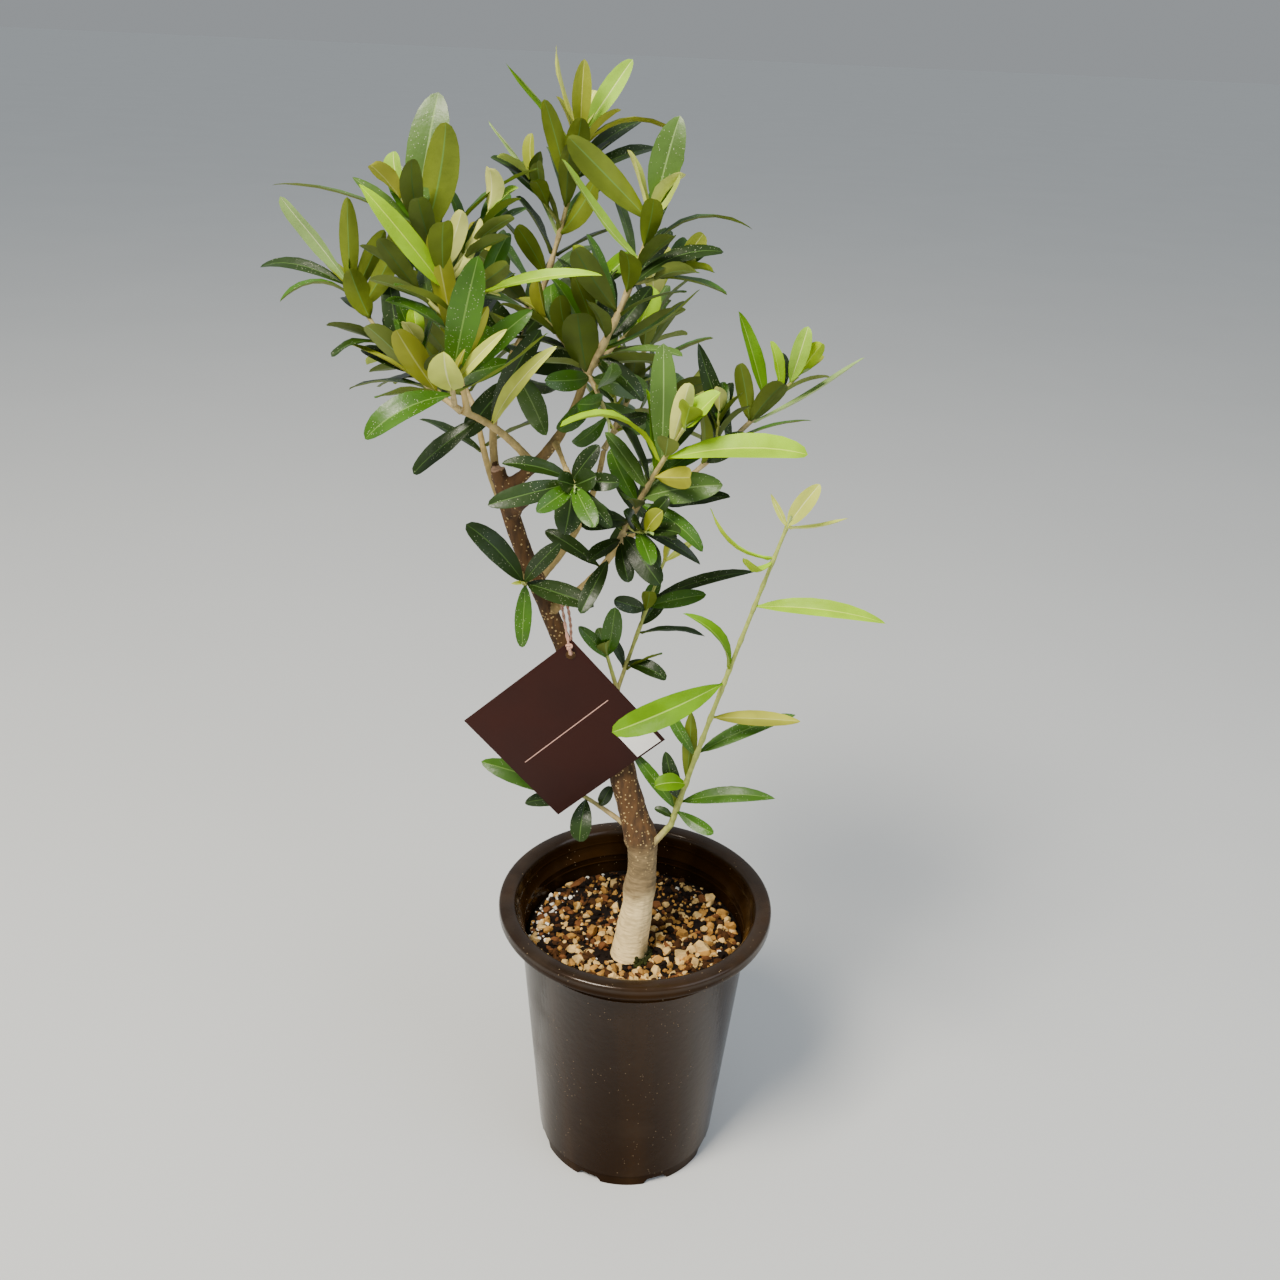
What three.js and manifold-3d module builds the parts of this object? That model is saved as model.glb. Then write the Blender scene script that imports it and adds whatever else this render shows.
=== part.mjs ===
// A young olive tree in a round nursery pot, with a blank square tag tied to its trunk.
// Millimetres, +Z up, +Y away from the viewer; the origin is the middle of the pot's flat underside.

import * as THREE from 'three';
import { mergeVertices } from 'three/addons/utils/BufferGeometryUtils.js';
import Module from 'manifold-3d';

const wasm = await Module();
wasm.setup();

// Pot

const GAP = 0.3;
const POT_SIDES = 32;
const RIM_RADIUS = 90;
const RIM_HEIGHT = 198.2;
const LIP_INNER_RADIUS = 78.7;
const LIP_DEPTH = 9;
const NECK_RADIUS = 76.6;
const FOOT_RADIUS = 60.3;
const FOOT_HEIGHT = 9.5;
const FOOT_STEP = 1.6;
const WALL = 1.9;
const FLOOR_HEIGHT = 4.3;
const FLOOR_THICK = 2.2;
const BOSS_RADIUS = 20;
const BOSS_SLOPE = 3;
const FOOT_RING_WIDTH = 2.6;
const FOOT_CHAMFER = 1;
const NECK_RIB = 0.7;
const NECK_RIB_DROP = 10;
const LIP_LOW_ROUND = { across: 2, up: 4 };
const LIP_TOP_ROUND = [{ across: 1.6, down: 1 }, { across: 4.5, down: 0 }];
const LIP_INNER_ROUND = [{ across: 2.5, down: 0.6 }, { across: 0, down: 3.5 }];
const LIP_INNER_STEP = { across: 1.5, down: 2 };
const NOTCH_COUNT = 8;
const NOTCH_WIDTH = 12;
const NOTCH_HEIGHT = 4;
const DRAIN_COUNT = 6;
const DRAIN_RADIUS = 4.5;
const DRAIN_SIDES = 8;
const DRAIN_CIRCLE = 40;

// Soil

const SOIL_TOP = 170;
const SOIL_RISE = 3;
const GRAIN_COUNT = 30;
const GRAIN_SIZES = [3.6, 7];
const GRAIN_TILT = 0.4;
const GRAIN_OFF_WALL = 9;
const GRAIN_OFF_TRUNK = 1.5;
const SOIL_EDGE_DROP = 1;
const SOIL_EDGE_WIDTH = 2;

// Trunk: places of its bends with the radius there, from the cut at soil level to the pruned top

const TRUNK_SIDES = 10;
const TRUNK_STEPS = 26;
const TRUNK_CUTTER = { across: 80, depth: 40 };
const TRUNK_BENDS = [
  { at: [-4, -24, 160], radius: 13.2 },
  { at: [-2.5, -22, 170], radius: 12.1 },
  { at: [-1.1, -20, 184], radius: 11 },
  { at: [1.4, -17.5, 205], radius: 10 },
  { at: [2.2, -15.5, 216], radius: 10.7 },
  { at: [3.2, -12.8, 230], radius: 9.2 },
  { at: [3, -10, 243], radius: 9.5 },
  { at: [1.4, -8.4, 252], radius: 10.9 },
  { at: [-3.9, -5.8, 268.5], radius: 9.1 },
  { at: [-9.9, -3.9, 288], radius: 8.7 },
  { at: [-14.5, -2.3, 306], radius: 8.2 },
  { at: [-28, 0, 337], radius: 7 },
  { at: [-50, 2, 380], radius: 5.7 },
  { at: [-62, 3, 408], radius: 5.3 },
  { at: [-73, 4, 434], radius: 5.3 },
  { at: [-81, 5, 457], radius: 5.2 },
  { at: [-90, 6, 488], radius: 4.4 },
];
const STUBS = [
  { from: [-82, 4, 464], reach: [9, -13, 12], bow: [0, 0, 0], radius: [4.4, 4.1] },
  { from: [-71, 2, 424], reach: [-10, -4, 4], bow: [0, 0, 0], radius: [2.2, 1.8] },
];

// Boughs: each leaves the trunk or a lower bough, reaches so far, and bows to one side on the way

const BOUGH_SIDES = 6;
const BOUGH_STEPS = 4;
const BOUGHS = {
  bough_centre: { from: [-84, 4, 478], reach: [43, -12, 67], bow: [6, -1, -3], radius: [3.7, 2.2] },
  bough_left: { on: 'bough_centre', share: 0.25, reach: [-32, -50, 44], bow: [1, 0, 4], radius: [2.6, 1.8] },
  bough_upper_left: {
    on: 'bough_left', share: 0.93, reach: [-4, -10, 33], bow: [0, 0, 0], radius: [1.7, 1.5],
  },
  bough_top: { from: [-90, 7, 480], reach: [16, 19, 86], bow: [-10, 4, 0], radius: [2.6, 1.8] },
  bough_front: { on: 'bough_centre', share: 0.5, reach: [8, -26, -7], bow: [0, 0, 0], radius: [1.7, 1.5] },
  bough_right: { from: [-59, 1, 403], reach: [40, -19, 52], bow: [3, 0, -2], radius: [2.8, 2.0] },
  bough_far_right: { on: 'bough_right', share: 0.9, reach: [41, 20, 40], bow: [2, 0, 1], radius: [1.9, 1.5] },
  bough_back_left: { from: [-77, 5, 445], reach: [-32, 54, 60], bow: [-4, 4, -4], radius: [2.6, 1.8] },
  bough_back_right: { from: [-68, 4, 420], reach: [36, 52, 66], bow: [6, 4, -6], radius: [2.6, 1.8] },
};

// Directions that a leaf's upper face can look in

const FACING = {
  front: [0, -0.9, 0.44],
  back: [0, 0.9, -0.3],
  up: [0, 0, 1],
  down: [0, 0, -1],
  upFront: [0, -0.6, 0.8],
  left: [-1, -0.25, 0.2],
  right: [1, -0.25, 0.2],
  frontLeft: [-0.6, -0.75, 0.3],
  frontRight: [0.6, -0.75, 0.3],
  backLeft: [-0.6, 0.75, -0.2],
  backRight: [0.6, 0.75, -0.2],
};

// One chosen leaf: its share along the shoot, heading and rise in degrees, length, width,
// the way its upper face looks and how far its middle arches towards that side

function leaf(share, heading, rise, length, width, facing, arch = 2) {
  return { share, heading, rise, length, width, facing, arch };
}

// Foliage: each mass grows from one stem that meets its bough's tip or the trunk.
// A shoot has pairs of leaves, chosen leaves that stand out, and side twigs that follow the seeded rule.

const MASSES = {
  foliage_leader: {
    bough: 'bough_centre',
    shoots: [
      {
        name: 'leader', reach: [35, -10, 95], bow: [4, -1, 0], radius: [2, 0.9],
        pairs: 6, size: [46, 14], twigs: 2, twigTurn: 40,
        leaves: [
          leaf(0.88, -160, 42, 60, 16, 'back', 4), leaf(0.68, -148, 49, 66, 11, 'right', -3),
          leaf(0.95, 5, 77, 45, 18, 'front'), leaf(0.68, 14, 16, 62, 8, 'up', 13),
          leaf(0.53, 0, 24, 52, 11, 'upFront', 9), leaf(0.18, 11, 33, 60, 8, 'up', -5),
          leaf(0.39, -138, 50, 46, 15, 'back'), leaf(0.03, -103, 61, 42, 21, 'back'),
          leaf(0.21, 41, 41, 42, 12, 'front'), leaf(0.14, -22, -36, 34, 12, 'upFront', 4),
          leaf(0.9, -46, 50, 30, 8, 'right', 1),
        ],
      },
      {
        name: 'leader_low', on: 'leader', share: 0.03,
        reach: [12, -16, -18], bow: [0, 0, 2], radius: [1.3, 0.8],
        pairs: 3, size: [38, 14], spread: [80, 60],
      },
      {
        name: 'leader_left', on: 'leader', share: 0.04,
        reach: [-24, 8, 26], bow: [0, 0, 0], radius: [1.3, 0.8],
        pairs: 3, size: [40, 14],
      },
      {
        name: 'leader_back', on: 'leader', share: 0.06,
        reach: [24, 22, 20], bow: [0, 0, 0], radius: [1.3, 0.8],
        pairs: 3, size: [40, 14],
      },
    ],
  },
  foliage_top: {
    bough: 'bough_top',
    shoots: [
      {
        name: 'top', reach: [26, 4, 99], bow: [3, -1, 0], radius: [1.7, 0.8],
        pairs: 6, size: [44, 13], twigs: 2, twigTurn: 200,
        leaves: [
          leaf(1, 180, 71, 44, 7, 'left'), leaf(1, -78, 77, 37, 11, 'front'),
          leaf(1, 12, 55, 45, 12, 'front', -1), leaf(0.92, 10, 8, 57, 8, 'up', 12),
          leaf(0.9, 165, 45, 58, 7, 'left', -3), leaf(0.69, -137, 70, 51, 11, 'back'),
          leaf(0.48, -26, 54, 38, 15, 'backRight'), leaf(0.48, 150, 48, 72, 5, 'left', -4),
          leaf(0.26, -127, 50, 38, 11, 'back'), leaf(0.77, 29, 18, 54, 11, 'upFront', 4),
          leaf(0.82, 39, 30, 50, 11, 'upFront', 3),
        ],
      },
      {
        name: 'top_low', on: 'top', share: 0.03,
        reach: [-8, -8, -30], bow: [-3, 0, 0], radius: [1.3, 0.8],
        pairs: 2, size: [44, 15], spread: [80, 60],
        leaves: [
          leaf(0.3, -158, 32, 52, 17, 'front', 3), leaf(0.35, -12, 46, 50, 16, 'front', 3),
          leaf(0.75, -165, -14, 50, 16, 'front', 3), leaf(0.8, -20, 8, 48, 16, 'front', 3),
          leaf(1, -140, -42, 46, 15, 'front', 3), leaf(1, -60, -30, 46, 15, 'front', 3),
          leaf(0.55, -80, 10, 42, 16, 'upFront', 3),
        ],
      },
      {
        name: 'top_side', on: 'top', share: 0.06,
        reach: [-22, 14, 20], bow: [0, 0, 0], radius: [1.3, 0.8],
        pairs: 3, size: [44, 14],
      },
    ],
  },
  foliage_upper_left: {
    bough: 'bough_upper_left',
    shoots: [
      {
        name: 'upper_left', reach: [-22, -7, 73], bow: [6, -1, 1], radius: [1.6, 0.8],
        pairs: 5, size: [44, 14], twigs: 2, twigTurn: 30,
        leaves: [
          leaf(0.88, 49, 74, 57, 21, 'front', 3), leaf(0.76, -31, 74, 54, 18, 'back', 2),
          leaf(0.6, 15, 42, 66, 8, 'up', 7), leaf(0.53, -25, 66, 33, 11, 'back'),
          leaf(0.44, 0, 60, 37, 9, 'backRight'), leaf(0.42, -150, 51, 63, 12, 'front', 3),
          leaf(0.5, 180, 48, 60, 11, 'upFront', 3), leaf(0.03, -115, 74, 61, 13, 'back', 2),
          leaf(0.4, 33, 50, 50, 17, 'frontLeft', 3), leaf(0.82, 172, 13, 74, 6, 'up', 5),
        ],
      },
      {
        name: 'upper_left_side', on: 'upper_left', share: 0.35,
        reach: [17, 4, 4], bow: [0, 0, 1], radius: [1.2, 0.7],
        pairs: 1, size: [34, 11], from: 0.5, to: 0.5,
        leaves: [
          leaf(1, -11, 13, 60, 8, 'upFront', 4), leaf(0.95, 60, 50, 34, 10, 'front', 2),
        ],
      },
    ],
  },
  foliage_left: {
    bough: 'bough_left',
    shoots: [
      {
        name: 'left', reach: [-60, 28, 54], bow: [-4, 1, -4], radius: [1.7, 0.8],
        pairs: 4, size: [42, 13], twigs: 1, twigTurn: 110,
        leaves: [
          leaf(1, -68, 83, 46, 11, 'back'), leaf(1, -171, 53, 54, 11, 'frontLeft', -2),
          leaf(1, 164, 7, 54, 9, 'upFront', 7), leaf(0.93, -150, 2, 40, 9, 'up', 9),
          leaf(0.87, -26, 55, 40, 12, 'back'), leaf(0.96, 19, 63, 36, 11, 'backLeft'),
          leaf(0.59, -149, -5, 31, 9, 'up', 5), leaf(0.35, 161, 18, 33, 11, 'upFront'),
          leaf(0.47, 119, 68, 45, 12, 'front'), leaf(0.17, -129, 55, 45, 16, 'back', 2),
          leaf(0.26, 174, 72, 46, 11, 'frontRight'), leaf(0.23, 162, -7, 49, 8, 'up', 4),
          leaf(0.2, 174, 26, 50, 6, 'up', 2),
        ],
      },
      {
        name: 'left_young', on: 'left', share: 0.05, reach: [1, -14, 16], bow: [0, 0, 0], radius: [1.4, 0.9],
        pairs: 1, size: [22, 8],
        leaves: [
          leaf(1, -36, 73, 66, 18, 'front', 2), leaf(0.7, -90, 45, 34, 19, 'front', 3),
          leaf(0.8, -26, 46, 46, 7, 'front', 2), leaf(0.5, -154, -22, 50, 17, 'upFront', 9),
          leaf(0.6, -11, 36, 60, 5, 'up', -3), leaf(1, -14, 63, 44, 9, 'back', -3),
        ],
      },
    ],
  },
  foliage_front: {
    bough: 'bough_front',
    shoots: [
      {
        name: 'front', reach: [6, -20, -2], bow: [0, 0, 0], radius: [1.4, 0.9],
        pairs: 1, size: [28, 12], spread: [75, 60],
        leaves: [
          leaf(0.85, -156, -9, 47, 13, 'front'), leaf(0.6, -165, 16, 38, 11, 'upFront', 4),
          leaf(1, -126, -13, 30, 11, 'front'), leaf(1, -65, -22, 32, 12, 'front'),
          leaf(0.8, -105, -66, 28, 17, 'front'), leaf(0.7, 3, 55, 24, 11, 'front'),
          leaf(0.75, -15, 6, 26, 11, 'front'), leaf(0.95, -26, -40, 30, 9, 'front'),
        ],
      },
    ],
  },
  foliage_right: {
    bough: 'bough_right',
    shoots: [
      {
        name: 'right', reach: [32, -37, 79], bow: [-2, 2, -1], radius: [1.8, 0.8],
        pairs: 4, size: [40, 14], twigs: 1, twigTurn: 250,
        leaves: [
          leaf(0.72, -159, 24, 61, 13, 'up', 14), leaf(0.76, -8, 8, 75, 17, 'upFront', 8),
          leaf(0.72, 112, 85, 62, 15, 'front', 2), leaf(0.63, 180, 83, 46, 9, 'frontRight'),
          leaf(0.85, -53, 72, 39, 11, 'back', -2), leaf(0.61, -53, 16, 34, 13, 'back', 2),
          leaf(0.43, -20, 18, 47, 18, 'front', 3), leaf(0.38, -22, -27, 44, 12, 'upFront', 6),
          leaf(0.2, -7, -26, 46, 9, 'upFront', 3), leaf(0.09, -43, -34, 36, 15, 'front', 2),
          leaf(0.03, -73, -38, 26, 11, 'front'), leaf(0.05, -130, -12, 27, 11, 'upFront'),
          leaf(0.21, -140, 7, 32, 15, 'upFront', 4), leaf(0.36, -157, 42, 46, 12, 'frontRight', 2),
          leaf(0.37, 180, 62, 34, 11, 'front'), leaf(0.51, -167, 54, 39, 11, 'frontRight'),
        ],
      },
    ],
  },
  foliage_far_right: {
    bough: 'bough_far_right',
    shoots: [
      {
        name: 'far_right', reach: [57, 16, 56], bow: [0, 0, -1], radius: [1.5, 0.8],
        pairs: 4, size: [40, 12], twigs: 1, twigTurn: 80,
        leaves: [
          leaf(0.72, 180, 70, 55, 11, 'frontRight'), leaf(0.4, -168, 67, 58, 11, 'front'),
          leaf(0.56, -133, 70, 38, 11, 'back'), leaf(0.85, -147, 72, 31, 9, 'frontRight'),
          leaf(0.93, -37, 76, 34, 11, 'front'), leaf(0.55, 13, 31, 74, 5, 'up', -3),
          leaf(0.36, -6, 21, 48, 8, 'up', 3), leaf(0.15, -44, 40, 36, 13, 'front', 2),
        ],
      },
    ],
  },
  foliage_middle: {
    trunk: [-23, -1, 331],
    shoots: [
      {
        name: 'middle', reach: [32, 17, 106], bow: [0, 4, 0], radius: [1.5, 0.7],
        pairs: 2, size: [28, 10], from: 0.3,
        leaves: [
          leaf(0.95, -39, 68, 24, 7, 'backLeft'), leaf(0.95, 0, 41, 24, 5, 'front'),
          leaf(0.71, -9, 24, 67, 9, 'upFront', 6), leaf(0.68, -29, 25, 42, 11, 'front', 2),
          leaf(0.52, 0, 1, 41, 8, 'up', 3), leaf(0.56, 53, 30, 24, 12, 'front'),
          leaf(0.66, -150, 25, 24, 11, 'front'), leaf(0.34, -25, -8, 27, 11, 'upFront', 4),
        ],
      },
      {
        name: 'middle_low', on: 'middle', share: 0.18,
        reach: [-7, -4, 26], bow: [0, 0, 0], radius: [1.2, 0.8],
        pairs: 1, size: [26, 10],
        leaves: [leaf(0.95, -68, 74, 38, 13, 'front', 2), leaf(0.9, -164, 51, 29, 9, 'front')],
      },
    ],
  },
  foliage_water_shoot: {
    trunk: [20, -16, 267.5],
    shoots: [
      {
        name: 'water_shoot', reach: [50.8, -34, 214.5], bow: [-2, -4, 0], radius: [2, 0.9],
        pairs: 1, size: [34, 10], to: 0.21,
        leaves: [
          leaf(0.77, -12, 1, 72, 12, 'upFront', 7), leaf(0.9, -129, 22, 28, 9, 'up', -6),
          leaf(0.91, -172, 40, 46, 5, 'up', -8), leaf(1, -20, 60, 30, 11, 'front'),
          leaf(1, 10, 9, 33, 4, 'up', -2), leaf(0.57, -144, 52, 56, 11, 'right', 8),
          leaf(0.53, -158, -18, 71, 18, 'front', 8), leaf(0.41, -5, 3, 52, 8, 'down', 3),
          leaf(0.28, 14, 20, 64, 11, 'upFront', 4), leaf(0.27, 166, 57, 37, 8, 'front'),
          leaf(0.29, -113, 74, 36, 9, 'front'), leaf(0.09, -10, 13, 60, 12, 'upFront', 6),
          leaf(0.15, -125, 45, 26, 11, 'up', -3), leaf(0.13, 169, 33, 33, 11, 'front', 3),
          leaf(0.06, -34, -11, 28, 9, 'front', 2), leaf(1, 170, 60, 20, 4, 'front'),
        ],
      },
      {
        name: 'water_foot', on: 'water_shoot', share: 0,
        reach: [-12, 4.5, -20.5], bow: [0, 0, 0], radius: [2, 2.4],
        pairs: 0, size: [26, 9], leaves: [],
      },
    ],
  },
  foliage_low_left: {
    trunk: [-68, 3, 420],
    shoots: [
      {
        name: 'low_left', reach: [-5, -15, 6], bow: [0, 0, 0], radius: [1.6, 1.2],
        pairs: 0, size: [26, 9],
        leaves: [
          leaf(1, -162, 50, 50, 16, 'frontRight', 4), leaf(0.85, -30, -2, 47, 16, 'upFront', 3),
          leaf(0.85, -95, -73, 38, 11, 'front'), leaf(1, -20, 52, 36, 11, 'front'),
        ],
      },
    ],
  },
  foliage_base_left: {
    trunk: [-5, -5, 255],
    shoots: [
      {
        name: 'base_left', reach: [-32, 9, 18], bow: [0, 0, 1], radius: [1.5, 1],
        pairs: 0, size: [24, 8],
        leaves: [
          leaf(1, 178, 17, 68, 17, 'front', 3), leaf(0.95, 172, 8, 41, 12, 'upFront', 3),
          leaf(0.92, -100, -53, 28, 15, 'front', 2), leaf(0.6, -130, 30, 18, 8, 'front'),
          leaf(0.5, -60, -30, 16, 7, 'front'),
        ],
      },
    ],
  },
  foliage_back_left: {
    bough: 'bough_back_left',
    shoots: [
      {
        name: 'back_left', reach: [-30, 26, 78], bow: [-6, 6, 0], radius: [1.7, 0.8],
        pairs: 5, size: [50, 15], twigs: 2, twigTurn: 60,
      },
      {
        name: 'back_left_low', on: 'back_left', share: 0.12,
        reach: [-44, 26, 14], bow: [0, 0, 5], radius: [1.3, 0.8],
        pairs: 4, size: [46, 14],
      },
    ],
  },
  foliage_back_right: {
    bough: 'bough_back_right',
    shoots: [
      {
        name: 'back_right', reach: [26, 24, 86], bow: [5, 5, 0], radius: [1.7, 0.8],
        pairs: 5, size: [50, 15], twigs: 2, twigTurn: 310,
      },
      {
        name: 'back_right_low', on: 'back_right', share: 0.1,
        reach: [46, 20, 18], bow: [0, 0, 5], radius: [1.3, 0.8],
        pairs: 4, size: [46, 14],
      },
    ],
  },
};

// Growth rule

const TWIG_SIDES = 3;
const TWIG_STEP = 14;
const TWIG_LENGTHS = [24, 40];
const TWIG_ANGLE = 50;
const TWIG_PAIRS = 2;
const TWIG_RADIUS = [1, 0.7];
const TWIG_LEAF_SHARE = 0.8;
const TWIG_SHARES = [0.12, 0.72];
const TWIG_SAG = 0.06;
const TWIG_FIRST_PAIR = 0.45;
const FIRST_PAIR = 0.12;
const PAIR_TURN = 90;
const TURN_SCATTER = 40;
const SPREAD_SCATTER = 14;
const LENGTH_SCATTER = [0.8, 1.1];
const WIDTH_SCATTER = [0.85, 1.1];
const ARCH_SHARES = [0.02, 0.1];
const FACE_LIFT = 0.6;
const GOLDEN_TURN = 137.5;
const SPREAD = [68, 28];
const LIFT = 0.25;
const TIP_LEAF_SHARE = 0.6;
const SHARE_OF_TURNS = [0, 35, -35, 65, -65];
const LEAF_RINGS = [0, 0.3, 0.72, 1];
const LEAF_WIDTHS = [0.07, 1, 0.94, 0];
const LEAF_RIDGE = 0.9;
const LEAF_ROOT_RIDGE = 0.45;
const LEAF_SIDES = 3;
const LEAF_ROOT_OUT = 0.35;
const SAMPLES_ALONG = 12;
const SAMPLES_ACROSS = [-0.85, -0.42, 0, 0.42, 0.85];
const CLEAR_OF_OWN = 2.2;
const CLEAR_OF_OTHERS = 3.4;
const CLEAR_OF_LIMBS = 1.6;
const ROOT_SHARE = 0.34;
const BALL_STEP = 3;
const LEAST_BALLS = 4;
const BOUGH_SHARE_TO_CLEAR = 0.9;
const SEED = 20;
const SEEDS_APART = 1000;
const SEED_STEP = 7;

// Tag and its cord

const TAG_SIDE = 86.5;
const TAG_THICK = 0.8;
const TAG_HOLE_RADIUS = 3;
const TAG_HOLE_INSET = 10;
const TAG_HOLE_SIDES = 16;
const TAG_CENTRE = [-47.7, -15, 331.4];
const TAG_TURN = 42;
const CORD_RADIUS = 1;
const CORD_SIDES = 8;
const CORD_STEPS = 26;
const CORD_IN_HOLE = 1.4;
const CORD_BEHIND_TAG = [0, 2, 0.2];
const CORD_BEFORE_TAG = [0, -2, 0.4];
const CORD_SLING_DEGREES = [0, 45, 90, 135, 180];
const CORD_DOWN_SHARE = 0.55;
const CORD_DOWN_SHIFT = [1.5, 0, -1];
const CORD_CARRIER = 'bough_right';
const CORD_SHARE = 0.17;
const KNOT_RADIUS = 1.9;
const KNOT_RINGS = 6;
const KNOT_AT = [-0.8, -2.4, 6.5];

// Meshes

const MERGE_DISTANCE = 1e-4;

// Vectors and curves

const UP = new THREE.Vector3(0, 0, 1);

function vector(list) {
  return new THREE.Vector3(...list);
}

function heading(degrees, rise) {
  const turn = THREE.MathUtils.degToRad(degrees);
  const lift = THREE.MathUtils.degToRad(rise);
  return new THREE.Vector3(Math.cos(lift) * Math.cos(turn), Math.cos(lift) * Math.sin(turn), Math.sin(lift));
}

// A stretch that runs from start by reach, and stands off its chord by bow in the middle

class Bowed extends THREE.Curve {
  constructor(start, reach, bow) {
    super();
    this.start = start;
    this.reach = reach;
    this.bow = bow;
  }

  getPoint(t) {
    return this.start.clone().addScaledVector(this.reach, t).addScaledVector(this.bow, 4 * t * (1 - t));
  }

  getTangent(t) {
    return this.reach.clone().addScaledVector(this.bow, 4 - 8 * t).normalize();
  }
}

function crossFrame(tangent, reference) {
  const side = new THREE.Vector3().crossVectors(tangent, reference).normalize();
  return { side, face: new THREE.Vector3().crossVectors(side, tangent) };
}

function lean(from, towards, angle) {
  return from.clone().multiplyScalar(Math.cos(angle)).addScaledVector(towards, Math.sin(angle));
}

function steadyReference(direction) {
  return Math.abs(direction.z) < 0.8 ? UP : new THREE.Vector3(0, 1, 0);
}

function mix(from, to, t) {
  return from + (to - from) * t;
}

// Seeded numbers from 0 to 1

function makeDice(seed) {
  let state = seed >>> 0;
  return () => {
    state = (state + 0x6d2b79f5) >>> 0;
    let bits = Math.imul(state ^ (state >>> 15), state | 1);
    bits = (bits + Math.imul(bits ^ (bits >>> 7), bits | 61)) ^ bits;
    return ((bits ^ (bits >>> 14)) >>> 0) / 4294967296;
  };
}

// Solids

function toSolid(geometry) {
  const bare = geometry.index ? geometry.toNonIndexed() : geometry.clone();
  bare.deleteAttribute('normal');
  bare.deleteAttribute('uv');
  const merged = mergeVertices(bare, MERGE_DISTANCE);
  return new wasm.Manifold(new wasm.Mesh({
    numProp: 3,
    vertProperties: new Float32Array(merged.attributes.position.array),
    triVerts: new Uint32Array(merged.index.array),
  }));
}

function toGeometry(solid) {
  const mesh = solid.getMesh();
  const geometry = new THREE.BufferGeometry();
  geometry.setAttribute('position', new THREE.BufferAttribute(mesh.vertProperties, 3));
  geometry.setIndex(new THREE.BufferAttribute(mesh.triVerts, 1));
  return geometry;
}

function largestBody(solid) {
  return solid.decompose().reduce((best, body) => (body.volume() > best.volume() ? body : best));
}

function weld(solids) {
  return solids.reduce((whole, solid) => whole.add(solid));
}

// A cylinder bent along a curve: section(t) gives the half sizes across and the frame's reference

function bentSolid(curve, sides, rings, section) {
  const geometry = new THREE.CylinderGeometry(section(1).wide > 0 ? 1 : 0, 1, 1, sides, rings.length - 1);
  const points = geometry.attributes.position;
  const radial = new THREE.Vector2();
  for (let i = 0; i < points.count; i += 1) {
    const level = Math.round((0.5 + points.getY(i)) * (rings.length - 1));
    const t = rings[level];
    const { wide, thick, reference } = section(t);
    const tangent = curve.getTangent(t);
    const { side, face } = crossFrame(tangent, reference);
    radial.set(points.getX(i), points.getZ(i)).normalize();
    const place = curve.getPoint(t).addScaledVector(side, radial.x * wide);
    place.addScaledVector(face, radial.y * thick);
    points.setXYZ(i, place.x, place.y, place.z);
  }
  return toSolid(geometry);
}

function evenRings(count) {
  return Array.from({ length: count + 1 }, (_, i) => i / count);
}

function limbSolid(curve, radiusAt, sides, steps) {
  const reference = steadyReference(curve.getTangent(0.5));
  return bentSolid(curve, sides, evenRings(steps), (t) => {
    const radius = radiusAt(t);
    return { wide: radius, thick: radius, reference };
  });
}

// Trunk

function trunkCurve() {
  return new THREE.CatmullRomCurve3(TRUNK_BENDS.map((bend) => vector(bend.at)));
}

function trunkRadius(t) {
  const place = t * (TRUNK_BENDS.length - 1);
  const index = Math.min(Math.floor(place), TRUNK_BENDS.length - 2);
  return mix(TRUNK_BENDS[index].radius, TRUNK_BENDS[index + 1].radius, place - index);
}

function bowedLimb({ reach, bow }, start) {
  return new Bowed(start, vector(reach), vector(bow));
}

function taperedRadius([root, tip]) {
  return (t) => mix(root, tip, t);
}

function buildTrunk(extra) {
  const stem = limbSolid(trunkCurve(), (t) => trunkRadius(t) + extra, TRUNK_SIDES, TRUNK_STEPS);
  const stubs = STUBS.map((stub) => {
    const curve = bowedLimb(stub, vector(stub.from));
    const radius = taperedRadius(stub.radius);
    return limbSolid(curve, (t) => radius(t) + extra, BOUGH_SIDES, 1);
  });
  const { across, depth } = TRUNK_CUTTER;
  const [footX, footY] = TRUNK_BENDS[1].at;
  const below = new THREE.BoxGeometry(across, across, depth).translate(footX, footY, SOIL_TOP - 0.5 * depth);
  return weld([stem, ...stubs]).subtract(toSolid(below));
}

// Boughs

function growBoughs() {
  const limbs = {};
  for (const [name, bough] of Object.entries(BOUGHS)) {
    const start = bough.on ? limbs[bough.on].curve.getPoint(bough.share) : vector(bough.from);
    limbs[name] = { curve: bowedLimb(bough, start), radiusAt: taperedRadius(bough.radius), on: bough.on };
  }
  return limbs;
}

function buildBough(limb, fatTrunk, limbs) {
  let solid = limbSolid(limb.curve, limb.radiusAt, BOUGH_SIDES, BOUGH_STEPS).subtract(fatTrunk);
  if (limb.on) {
    const under = limbs[limb.on];
    solid = solid.subtract(limbSolid(under.curve, (t) => under.radiusAt(t) + GAP, BOUGH_SIDES, BOUGH_STEPS));
  }
  return largestBody(solid);
}

// What already stands: limbs and shoots as rows of balls, leaves as spread points

function limbBalls(curve, radiusAt, share = 1) {
  const count = Math.max(LEAST_BALLS, Math.ceil(curve.getLength() / BALL_STEP));
  const balls = [];
  for (let i = 0; i <= count * share; i += 1) {
    balls.push({ place: curve.getPoint(i / count), radius: radiusAt(i / count) });
  }
  return balls;
}

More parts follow.
